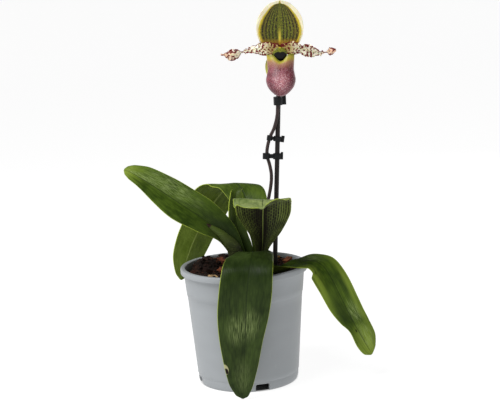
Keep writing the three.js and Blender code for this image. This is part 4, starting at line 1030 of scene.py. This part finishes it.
for name in ("lower_clip", "middle_clip", "upper_clip"):
    bm = bmesh.new()
    bm.from_mesh(nodes[name].data)
    bmesh.ops.transform(bm, matrix=nodes[name].matrix_world, verts=bm.verts)
    bmesh.ops.remove_doubles(bm, verts=bm.verts, dist=1e-6)
    bmesh.ops.dissolve_limit(bm, angle_limit=math.radians(2), verts=bm.verts, edges=bm.edges)
    bmesh.ops.recalc_face_normals(bm, faces=bm.faces)

    # Moulded polypropylene: black, satin on its flats, with a fine grain and grey dust in it.
    moulded, tree, shader = start_finish(
        f"black_polypropylene_{name}", Roughness=0.38, IOR=1.49, Specular_IOR_Level=0.2,
    )
    place = add(tree, "TexCoord").outputs["Object"]
    dusty = add(tree, "TexNoise", {"Vector": place, "Scale": per_metre(2), "Detail": 5.0})
    hue = add(tree, "ValToRGB", {"Fac": dusty}, stops=[(0.4, "#0c0d0e"), (0.62, "#15171a"), (0.8, "#2b2f33")])
    worn = add(tree, "MapRange", {"Value": dusty, "To Min": 0.28, "To Max": 0.55})
    grainy = add(tree, "TexNoise", {"Vector": place, "Scale": per_metre(0.25)})
    skin = add(tree, "Bump", {"Height": grainy, "Strength": 0.15, "Distance": 0.0001})
    connect(tree, shader, {"Base Color": hue, "Roughness": worn, "Normal": skin})
    rounded = piece(f"{name}_moulding", bm, [moulded], "clip", name).modifiers.new("rounded", "BEVEL")
    rounded.width = CLIP_ROUNDING * MM
    rounded.segments = 3
    rounded.limit_method = "ANGLE"
    rounded.angle_limit = math.radians(CLIP_CORNER)
    rounded.harden_normals = True

# ---------------------------------------------------------------- ovary and bract
# The downy ovary bends up from the stem to carry the flower, with a folded, pointed green-brown bract
# standing behind it.

OVARY_LINE = [(39.7, 3.9, 273.3), (40.4, 6.4, 282), (41.6, 8.4, 293), (42.2, 7, 302), (42.3, 2.8, 307)]
OVARY_RADII = [1.8, 2.3, 2.6, 2.5, 2.2]
OVARY_HAIRS = 420
BRACT = [
    ((38.6, 8.6, 268.8), (3.4, 3.4), (30, 30), (0.1, -1, 0)),
    ((38.8, 9.8, 275), (5, 5), (32, 32), (0.1, -1, 0)),
    ((39.4, 11.8, 282), (5, 5), (32, 32), (0.1, -1, 0.1)),
    ((40, 13.6, 288), (3.4, 3.4), (26, 26), (0.1, -1, 0.2)),
    ((40.4, 14.8, 292), (0.8, 0.8), (12, 12), (0.1, -1, 0.2)),
]
BRACT_WIDTH, BRACT_LENGTH, BRACT_THICKNESS = 10, 25, 0.9

bm = tube(OVARY_LINE, OVARY_RADII, steps=60, sides=24)
uneven_skin(bm, sway=(0.14, 0.14, 0), closeness=220)
hairs(bm, OVARY_HAIRS, seed=12)
piece("downy_ovary", bm, [downy_stalk("downy_green_ovary", "#261915", "#4a4426")], "ovary", "ovary")

# A drying bract: green at its base, brown to purple along its ribs, papery, faintly glossy.
papery, tree, shader = start_finish("green_brown_bract", Roughness=0.5, IOR=1.45, Specular_IOR_Level=0.3)
chart, _, along = halves(tree)
ribbed = add(tree, "Mapping", {"Vector": chart, "Scale": (BRACT_WIDTH / 0.62, BRACT_LENGTH / 8, 1)})
ribs = add(tree, "TexNoise", {"Vector": ribbed, "Scale": 1.0, "Detail": 4.0})
hue = add(tree, "ValToRGB", {"Fac": ribs}, stops=[(0.3, "#221713"), (0.55, "#3a3a1e"), (0.75, "#55602b")])
ridged = add(tree, "Bump", {"Height": ribs, "Strength": 0.5, "Distance": 0.0004})
connect(tree, shader, {"Base Color": coated(tree, hue, ("#33211b", (along, 0.6, 1.0))), "Normal": ridged})
bm = blade(BRACT, along=32, across=12, thickness=BRACT_THICKNESS, ripple=0.3)
soften(piece("folded_bract", bm, [papery, papery], "bract", "bract"))

# ---------------------------------------------------------------- column and staminode
# The column stands out of the middle of the flower, and carries the staminode: a glossy domed green shield
# with a yellow boss at its top and a maroon-black heart over the pouch's mouth.

COLUMN_LINE = [(42.3, 1.7, 308), (42.3, -4, 308.2), (42.3, -10, 307.6), (42.3, -13, 306.7)]
COLUMN_RADII = [3.2, 4.1, 3.3, 2.5]
STAMINODE_X = 41.9
STAMINODE = [
    ((STAMINODE_X, -14.2, 302.5), (2.6, 2.6), (-8, -8), (0, -1, 0.1)),
    ((STAMINODE_X, -14.9, 304.6), (5.4, 5.4), (-14, -14), (0, -1, 0.1)),
    ((STAMINODE_X, -15.4, 307.4), (6.8, 6.8), (-18, -18), (0, -1, 0.1)),
    ((STAMINODE_X, -15.4, 310.4), (6.4, 6.4), (-18, -18), (0, -1, 0.2)),
    ((STAMINODE_X, -14.8, 312.8), (4.2, 4.2), (-14, -14), (0, -1, 0.5)),
    ((STAMINODE_X, -14.2, 313.8), (1.2, 1.2), (-8, -8), (0, -1, 0.8)),
]
STAMINODE_THICKNESS = 1.3
HEART_BOTTOM, HEART_HEIGHT, HEART_HALF_WIDTH = 301.4, 8.6, 5.9
HEART_WIDEST = 0.62  # the share of its height where it is widest

# Fleshy yellow-green tissue: waxy, with fine darker specks.
waxy, tree, shader = start_finish(
    "waxy_green_column", Roughness=0.4, IOR=1.45, Specular_IOR_Level=0.35, Subsurface_Weight=0.1,
    Subsurface_Scale=0.001,
)
place = add(tree, "TexCoord").outputs["Object"]
specks = add(tree, "TexNoise", {"Vector": place, "Scale": per_metre(1.1), "Detail": 3.0})
hue = add(tree, "ValToRGB", {"Fac": specks}, stops=[(0.35, "#6e5a22"), (0.5, "#93902f"), (0.7, "#b0ad46")])
dimpled = add(tree, "Bump", {"Height": specks, "Strength": 0.3, "Distance": 0.0003})
connect(tree, shader, {"Base Color": hue, "Normal": dimpled})
bm = tube(COLUMN_LINE, COLUMN_RADII, steps=40, sides=32, side=(1, 0, 0))
piece("column_stalk", bm, [waxy], "column", "column")


def heart(x, z):
    """How dark the staminode's heart is at a point of its face, from 0 to 1."""
    aside, rise = abs(x - STAMINODE_X) / HEART_HALF_WIDTH, (z - HEART_BOTTOM) / HEART_HEIGHT
    if rise < HEART_WIDEST:
        reach = aside / max(rise / HEART_WIDEST, 0.02) ** 0.6
    else:
        reach = math.hypot((aside - 0.36) / 0.62, (rise - HEART_WIDEST) / 0.38)
    return min(max((1.1 - reach) / 0.2, 0.0), 1.0)


bm = blade(
    STAMINODE, along=44, across=32, thickness=STAMINODE_THICKNESS, swell=0.1, crease=0.5, thin=0.6,
)
dark = bm.verts.layers.float.new("heart")
for vert in bm.verts:
    spot = vert.co / MM - POT_AXIS
    vert[dark] = heart(spot.x, spot.z)

# A glossy shield: olive green with darker netted veins, running into a maroon-black heart.
shield, tree, shader = start_finish("glossy_green_shield", Roughness=0.22, IOR=1.47, Specular_IOR_Level=0.2)
_, out, along = halves(tree)
place = add(tree, "TexCoord").outputs["Object"]
net = add(tree, "TexNoise", {"Vector": place, "Scale": per_metre(1.4), "Detail": 4.0})
hue = add(tree, "ValToRGB", {"Fac": net}, stops=[(0.35, "#4a4a14"), (0.55, "#76782a"), (0.75, "#95963a")])
mark = add(tree, "Attribute", attribute_name="heart").outputs["Fac"]
hearted = coated(tree, hue, ("#c8b83c", (along, 0.8, 0.88), (out, 0.45, 0.2)), ("#0d0707", mark))
polish = add(tree, "MapRange", {"Value": net, "To Min": 0.15, "To Max": 0.35})
pimpled = add(tree, "Bump", {"Height": net, "Strength": 0.35, "Distance": 0.0003})
connect(tree, shader, {"Base Color": hearted, "Roughness": polish, "Normal": pimpled})
soften(piece("staminode_shield", bm, [shield, shield], "staminode", "staminode"))

# ---------------------------------------------------------------- dorsal sepal
# The hooded sepal at the top of the flower. Its green middle has rows of maroon-black dots along its veins;
# a yellow band and a broad, thin cream margin run round it.

DORSAL_SEPAL = [
    ((42.4, 0.6, 311.5), (6, 6), (10, 10), (0, -1, 0.1)),
    ((42.5, 0, 316), (16.5, 16.5), (10, 10), (0, -1, 0.05)),
    ((42.8, -0.5, 324), (21, 21), (10, 10), (0, -1, 0)),
    ((43.1, -1.2, 333), (22, 22), (10, 10), (0, -1, 0)),
    ((43.4, -2.5, 342), (20, 20), (9, 9), (0, -1, -0.1)),
    ((43.6, -4.5, 350), (14.5, 14.5), (8, 8), (0, -1, -0.3)),
    ((43.8, -6.2, 354.4), (8, 8), (5, 5), (0, -1, -0.4)),
    ((43.8, -7, 356), (2, 2), (2, 2), (0, -1, -0.4)),
]
PETAL_THICKNESS = 1.0
THIN_TISSUE = {"IOR": 1.45, "Specular_IOR_Level": 0.3, "Subsurface_Weight": 0.12, "Subsurface_Scale": 0.001}
DORSAL_WIDTH, DORSAL_LENGTH = 44, 46
DORSAL_VEINS, FIRST_VEIN = 0.175, 0.03  # between veins and to the first, as shares of the green's half width
GREEN_OUTLINE = [
    # how far along the sepal, and the share of its half width that is green
    (0.24, 0.82), (0.3, 0.83), (0.385, 0.81), (0.47, 0.76), (0.555, 0.7), (0.62, 0.64), (0.7, 0.56),
    (0.77, 0.45), (0.81, 0.29), (0.832, 0.02),
]

# Thin living tissue: green, yellow and cream zones, dotted veins in slight relief, a soft waxy sheen.
spotted, tree, shader = start_finish("spotted_green_sepal", Roughness=0.42, **THIN_TISSUE)
chart, out, along = halves(tree)
green_share = add(tree, "FloatCurve", {"Value": along})
outline = green_share.mapping.curves[0].points
outline[0].location, outline[-1].location = (0.0, 0.8), (1.0, 0.01)
for place_along, share in GREEN_OUTLINE:
    outline.new(place_along, share)
green_share.mapping.update()
kept = add(tree, "Math", {0: green_share, 1: 0.01}, operation="MAXIMUM")
zone = add(tree, "Math", {0: out, 1: kept}, operation="DIVIDE")
grained = add(tree, "Mapping", {"Vector": chart, "Scale": (DORSAL_WIDTH / 0.73, DORSAL_LENGTH / 1.35, 1)})
grain = add(tree, "TexNoise", {"Vector": grained, "Scale": 1.0, "Detail": 3.0})
past_green = add(tree, "Math", {0: out, 1: kept}, operation="SUBTRACT")
frayed = add(tree, "Math", {0: grain, 1: 0.1, 2: past_green}, operation="MULTIPLY_ADD")
green = add(tree, "ValToRGB", {"Fac": grain}, stops=[(0.3, "#393b0c"), (0.5, "#5b5e14"), (0.72, "#898b28")])
phase = add(
    tree, "Math", {0: zone, 1: 2 * math.pi / DORSAL_VEINS, 2: -2 * math.pi * FIRST_VEIN / DORSAL_VEINS},
    operation="MULTIPLY_ADD",
)
wave = add(tree, "Math", {0: phase}, operation="COSINE")
beads = add(tree, "Mapping", {"Vector": chart, "Scale": (DORSAL_WIDTH / 0.96, DORSAL_LENGTH / 0.79, 1)})
dotty = add(tree, "TexVoronoi", {"Vector": beads, "Scale": 1.0})
blots = add(tree, "Mapping", {"Vector": chart, "Scale": (DORSAL_WIDTH / 2.6, DORSAL_LENGTH / 2.1, 1)})
blot = add(tree, "TexNoise", {"Vector": blots, "Scale": 1.0, "Detail": 2.0})
red = coated(tree, "#b58a25", ("#5c1416", (blot, 0.6, 0.5)))
zones = coated(
    tree, green, ("#66501a", (zone, 0.45, 1.0, 0.5)),
    ("#1c0f0a", (wave, -0.3, 0.6), (dotty, 0.85, 0.4), (zone, 0.1, 0.18)),
    ("#c2ae2c", (frayed, 0.03, 0.09)), ("#ebe4c2", (frayed, 0.12, 0.2)),
    ("#d8c244", (out, 0.09, 0.02), (along, 0.45, 0.22)), ("#b58a25", (along, 0.26, 0.16, 0.8)),
    (red, (along, 0.19, 0.15)),
)
ridges = add(tree, "Bump", {"Height": wave, "Strength": 0.3, "Distance": 0.0003})
soft_grain = add(tree, "Bump", {"Height": grain, "Normal": ridges, "Strength": 0.25, "Distance": 0.0003})
connect(tree, shader, {"Base Color": zones, "Normal": soft_grain})
bm = blade(
    DORSAL_SEPAL, along=64, across=36, thickness=PETAL_THICKNESS, swell=0.02, ripple=1.0, waves=7, seed=2.5,
    thin=0.3,
)
soften(piece("hooded_sepal", bm, [spotted, spotted], "dorsal_sepal", "dorsal_sepal"))

# ---------------------------------------------------------------- synsepal
# The two lower sepals, grown into one, hang behind the pouch. They are pale yellow-green with faint darker
# veins.

SYNSEPAL = [
    ((41.6, 0.6, 306), (7, 6), (6, 6), (0, -1, 0)),
    ((40.6, 0, 302.5), (12, 10), (8, 8), (0, -1, -0.1)),
    ((40, -1.6, 296), (13, 12), (8, 8), (0, -1, -0.2)),
    ((40, -2, 287), (10, 10), (8, 8), (0, -1, 0.1)),
    ((40.3, -0.8, 279.5), (5, 5), (6, 6), (0, -1, 0.2)),
    ((40.4, -0.4, 276.6), (1, 1), (4, 4), (0, -1, 0.2)),
]
SYNSEPAL_WIDTH, SYNSEPAL_LENGTH = 26, 32
SYNSEPAL_VEINS = 5  # on each half

# Thin waxy tissue: yellow-green, paler at its margin, with greener veins in slight relief.
pale, tree, shader = start_finish("pale_green_sepal", Roughness=0.42, **THIN_TISSUE)
chart, out, _ = halves(tree)
lined = add(tree, "Math", {0: out, 1: 2 * math.pi * SYNSEPAL_VEINS}, operation="MULTIPLY")
wave = add(tree, "Math", {0: lined}, operation="COSINE")
grained = add(tree, "Mapping", {"Vector": chart, "Scale": (SYNSEPAL_WIDTH / 0.87, SYNSEPAL_LENGTH / 2.7, 1)})
grain = add(tree, "TexNoise", {"Vector": grained, "Scale": 1.0, "Detail": 4.0})
hue = add(tree, "ValToRGB", {"Fac": grain}, stops=[(0.3, "#b2ba34"), (0.7, "#d4d55c")])
veined = coated(tree, hue, ("#6f8426", (wave, 0.5, 1.0, 0.55)), ("#d8d478", (out, 0.75, 1.0)))
ridges = add(tree, "Bump", {"Height": wave, "Strength": 0.3, "Distance": 0.0003})
connect(tree, shader, {"Base Color": veined, "Normal": ridges})
bm = blade(
    SYNSEPAL, along=44, across=24, thickness=PETAL_THICKNESS, swell=0.02, ripple=0.5, waves=5, seed=6.5,
    thin=0.35,
)
soften(piece("lower_sepal", bm, [pale, pale], "synsepal", "synsepal"))

# ---------------------------------------------------------------- petals
# Two long petals stand out level to the sides and twist as they go, with wavy margins fringed with short
# hairs. They are cream, blotched with maroon, and flushed with tan towards their tips.

PETALS = {
    # point on the midrib, half width, how far the face has rolled from facing forward
    "left_petal": [
        ((41.5, -3.8, 313.6), 3.6, 8),
        ((37, -4.8, 312.4), 5.4, 10),
        ((30, -6.6, 312.4), 6.5, 12),
        ((21.5, -7.6, 312.6), 5.4, 36),
        ((13.5, -8.4, 311.6), 4.3, 62),
        ((8.2, -8.8, 310.6), 4.2, 84),
        ((2.5, -9, 309.4), 5.2, 150),
        ((-3.4, -9.4, 308.6), 5.2, 190),
        ((-8.4, -9.8, 309.2), 2.6, 240),
        ((-12, -10, 309.8), 1.6, 262),
    ],
    "right_petal": [
        ((43.1, -3.8, 313.6), 3.6, -8),
        ((48, -4.8, 312.4), 5.4, -10),
        ((55, -6.6, 312.4), 6.4, -10),
        ((61.5, -7.6, 311.6), 5.4, -40),
        ((67.5, -8.4, 309.8), 6.2, -15),
        ((74.4, -8.8, 308.2), 5.4, -40),
        ((80, -9, 307.4), 4.4, -66),
        ((84.2, -9.2, 307.6), 3, -90),
        ((89, -9.4, 308.4), 3.4, -160),
        ((93.4, -9.8, 309.2), 1, -200),
    ],
}
PETAL_LIFT, PETAL_HAIRS = (6, 6), 260

for seed, (name, stations) in enumerate(PETALS.items()):
    # Thin living tissue: cream with sharp maroon blotches, greener along the midrib, a satin sheen.
    blotched, tree, shader = start_finish(f"blotched_cream_{name}", Roughness=0.45, **THIN_TISSUE)
    _, out, along = halves(tree)
    place = add(tree, "TexCoord").outputs["Object"]
    tint = add(tree, "TexNoise", {"Vector": place, "Scale": per_metre(3.3), "Detail": 3.0})
    cream = add(tree, "ValToRGB", {"Fac": tint}, stops=[(0.35, "#e3ddbd"), (0.65, "#f8f4e2")])
    blots = add(
        tree, "TexNoise", {"Vector": place, "Scale": per_metre(2), "Detail": 2.5, "W": seed + 0.6},
        noise_dimensions="4D",
    )
    crowded = blots
    for measure, start, full, share in ((out, 0.4, 1.0, 0.1), (along, 0.2, 0.02, 0.05)):
        grown = where(tree, (measure, start, full))
        crowded = add(tree, "Math", {0: grown, 1: share, 2: crowded}, operation="MULTIPLY_ADD")
    maroon = coated(
        tree, cream, ("#b9b873", (out, 0.4, 0.0, 0.4)), ("#dca888", (along, 0.55, 1.0, 0.85)),
        ("#b3943f", (along, 0.32, 0.14, 0.85)), ("#6b1a1a", (crowded, 0.53, 0.56)),
    )
    grain = add(tree, "TexNoise", {"Vector": place, "Scale": per_metre(0.7)})
    cellular = add(tree, "Bump", {"Height": grain, "Strength": 0.3, "Distance": 0.0002})
    connect(tree, shader, {"Base Color": maroon, "Normal": cellular})

    rolled = [
        (point, (half, half), PETAL_LIFT, (0, -math.cos(math.radians(turn)), math.sin(math.radians(turn))))
        for point, half, turn in stations
    ]
    bm = blade(
        rolled, along=120, across=16, thickness=PETAL_THICKNESS, ripple=3.0, waves=34, seed=4.1 + 3.3 * seed,
        thin=0.4,
    )
    hairs(bm, PETAL_HAIRS, seed=21 + seed)
    soften(piece(f"{name}_blade", bm, [blotched, blotched], "petal", name))

# ---------------------------------------------------------------- pouch
# The slipper: a hollow waxy pouch, rose-mauve and finely freckled, with a seam down its front. Its mouth is
# yellow-green, dips in front and rises into an inturned ear on each side.

POUCH = [
    # height, middle x and y, half width, half depth
    (303.5, 42.4, -11.5, 11.4, 6.4),
    (300, 42.3, -12.6, 11.7, 8.2),
    (294, 42.1, -14.2, 11.9, 9.6),
    (289, 41.8, -16, 12.9, 11),
    (284.5, 41.6, -17.4, 13.6, 12.2),
    (279, 41.5, -18.6, 12.2, 11.4),
    (274.5, 41.3, -19, 9, 8.8),
    (271.2, 41.2, -19, 5, 5.2),
    (269.9, 41.2, -19, 1.6, 1.6),
]
POUCH_WALL, POUCH_EAR, POUCH_DIP = 1.2, 4.5, 1.7
EAR_ROLL, EAR_FLARE = 0.5, 1.8
MOUTH_SHARE, TOE_SHARE = 0.27, 0.7  # how far down the wall the mouth's curve reaches, and the toe begins
SEAM_DEPTH, SEAM_HALF_WIDTH = 0.25, 0.09  # millimetres, and radians round the pouch
POUCH_ROWS, POUCH_SIDES = 64, 72
HIGHLIGHT_DEPTH, HIGHLIGHT_REACH = 21.0, 13.0  # how far below the mouth the painted highlight is centred, and how far it fades
POUCH_VEINS = 26.0


def mouth_edge(turn):
    """How far the mouth's edge stands above its level section, all the way round."""
    aside = min(max((abs(math.cos(turn)) - 0.05) / 0.7, 0), 1)
    ear = aside * aside * (3 - 2 * aside) if turn < 0 else math.cos(turn) ** 4
    return (POUCH_EAR - 0.2) * ear - (POUCH_DIP * (1 - ear) if turn < 0 else 0)


sections = [Vector(section) for section in POUCH]
bm = bmesh.new()
below = bm.verts.layers.float.new("below_mouth")
inner = bm.verts.layers.float.new("inner")
round_it = bm.verts.layers.float.new("round")
for inside in (False, True):
    ring = bmesh.ops.create_circle(bm, cap_ends=False, segments=POUCH_SIDES, radius=1)["verts"]
    spans = list({edge for vert in ring for edge in vert.link_edges})
    turns = {vert: math.atan2(vert.co.y, vert.co.x) for vert in ring}
    inset = POUCH_WALL if inside else 0.0
    for row in range(POUCH_ROWS + 1):
        share = row / POUCH_ROWS
        height, x, y, half_x, half_y = smooth_line(sections, share)
        follow = max(0.0, 1 - share / MOUTH_SHARE) ** 1.2
        toe = inset * min(1, max(0, share - TOE_SHARE) / 0.2)
        for vert in ring:
            turn = turns[vert]
            seam = SEAM_DEPTH * math.exp(-(((turn + math.pi / 2) / SEAM_HALF_WIDTH) ** 2)) * (1 - follow)
            lip = 0 if inside else EAR_ROLL * follow**3
            rolled = lip - EAR_FLARE * follow * math.cos(turn) ** 4
            reach_x = max(half_x - inset - rolled, 0.3)
            reach_y = max(half_y - inset - rolled - seam, 0.3)
            lift = follow * mouth_edge(turn)
            vert.co = at(x + reach_x * math.cos(turn), y + reach_y * math.sin(turn), height + toe + lift)
            vert[below] = sections[0][0] - height
            vert[inner] = float(inside)
            vert[round_it] = turn
        if row == POUCH_ROWS:
            break
        old = {tuple(round(c, 9) for c in vert.co): turns[vert] for vert in ring}
        grown = bmesh.ops.extrude_edge_only(bm, edges=spans)["geom"]
        ring = [item for item in grown if isinstance(item, bmesh.types.BMVert)]
        spans = [item for item in grown if isinstance(item, bmesh.types.BMEdge) and item.is_boundary]
        turns = {vert: old[tuple(round(c, 9) for c in vert.co)] for vert in ring}
    bmesh.ops.holes_fill(bm, edges=spans, sides=0)
bmesh.ops.bridge_loops(bm, edges=[edge for edge in bm.edges if edge.is_boundary])
bmesh.ops.recalc_face_normals(bm, faces=bm.faces)

# Waxy living tissue: rose-mauve, finely freckled with pale cells, yellow-green at the mouth, with a painted
# highlight low on the front: a paler ground where the pale freckles crowd as painted glints; each freckle is
# slightly raised, so its highlight breaks up into tiny glints.
slipper, tree, shader = start_finish(
    "freckled_mauve_pouch", Roughness=0.36, IOR=1.47, Specular_IOR_Level=0.3, Subsurface_Weight=0.1,
    Subsurface_Scale=0.0015,
)
place = add(tree, "TexCoord").outputs["Object"]
depth, inner_skin, turn_round = (
    add(tree, "Attribute", attribute_name=mark).outputs["Fac"] for mark in ("below_mouth", "inner", "round")
)
cloud = add(tree, "TexNoise", {"Vector": place, "Scale": per_metre(6.2), "Detail": 3.0})
mauve = add(tree, "ValToRGB", {"Fac": cloud}, stops=[(0.3, "#571f2b"), (0.55, "#6e323e"), (0.75, "#844551")])
freckles = add(tree, "TexVoronoi", {"Vector": place, "Scale": per_metre(0.95)})
aside = add(tree, "Math", {0: turn_round, 1: math.pi / 2}, operation="ADD")
off_front = add(tree, "Math", {0: aside}, operation="ABSOLUTE")
off_highlight = add(tree, "Math", {0: depth, 1: HIGHLIGHT_DEPTH}, operation="SUBTRACT")
far_down = add(tree, "Math", {0: off_highlight}, operation="ABSOLUTE")
# A painted highlight low on the front: a paler ground, and pale freckles crowded there as painted glints.
painted_highlight_area = where(tree, (off_front, 0.85, 0.0), (far_down, HIGHLIGHT_REACH, 0.0))
freckle_and_glint_share = add(tree, "Math", {0: painted_highlight_area, 1: 0.62, 2: 0.28}, operation="MULTIPLY_ADD")
dots = add(tree, "Math", {0: where(tree, (freckles, 0.5, 0.2)), 1: freckle_and_glint_share}, operation="MULTIPLY")
lines = add(tree, "Math", {0: turn_round, 1: POUCH_VEINS}, operation="MULTIPLY")
wave = add(tree, "Math", {0: lines}, operation="COSINE")
uneven = add(tree, "Math", {0: cloud, 1: 4.0, 2: depth}, operation="MULTIPLY_ADD")
lining = coated(tree, "#57501f", ("#2a0f14", (freckles, 0.35, 0.15)))
skin = coated(
    tree, mauve, ("#a3686f", painted_highlight_area), ("#e4c2c6", dots),
    ("#8d5a4e", (wave, 0.6, 1.0), (depth, 22.0, 8.0, 0.35)), ("#a67c5a", (uneven, 12.0, 4.5, 0.8)),
    ("#a99c3a", (uneven, 6.5, 3.6)), ("#6c7024", (uneven, 3.7, 2.2, 0.75)), (lining, inner_skin),
)
glints = add(tree, "Bump", {"Height": freckles, "Strength": 0.45, "Distance": 0.0003}, invert=True)
connect(tree, shader, {"Base Color": skin, "Normal": glints})
soften(piece("slipper_pouch", bm, [slipper], "pouch", "pouch"))
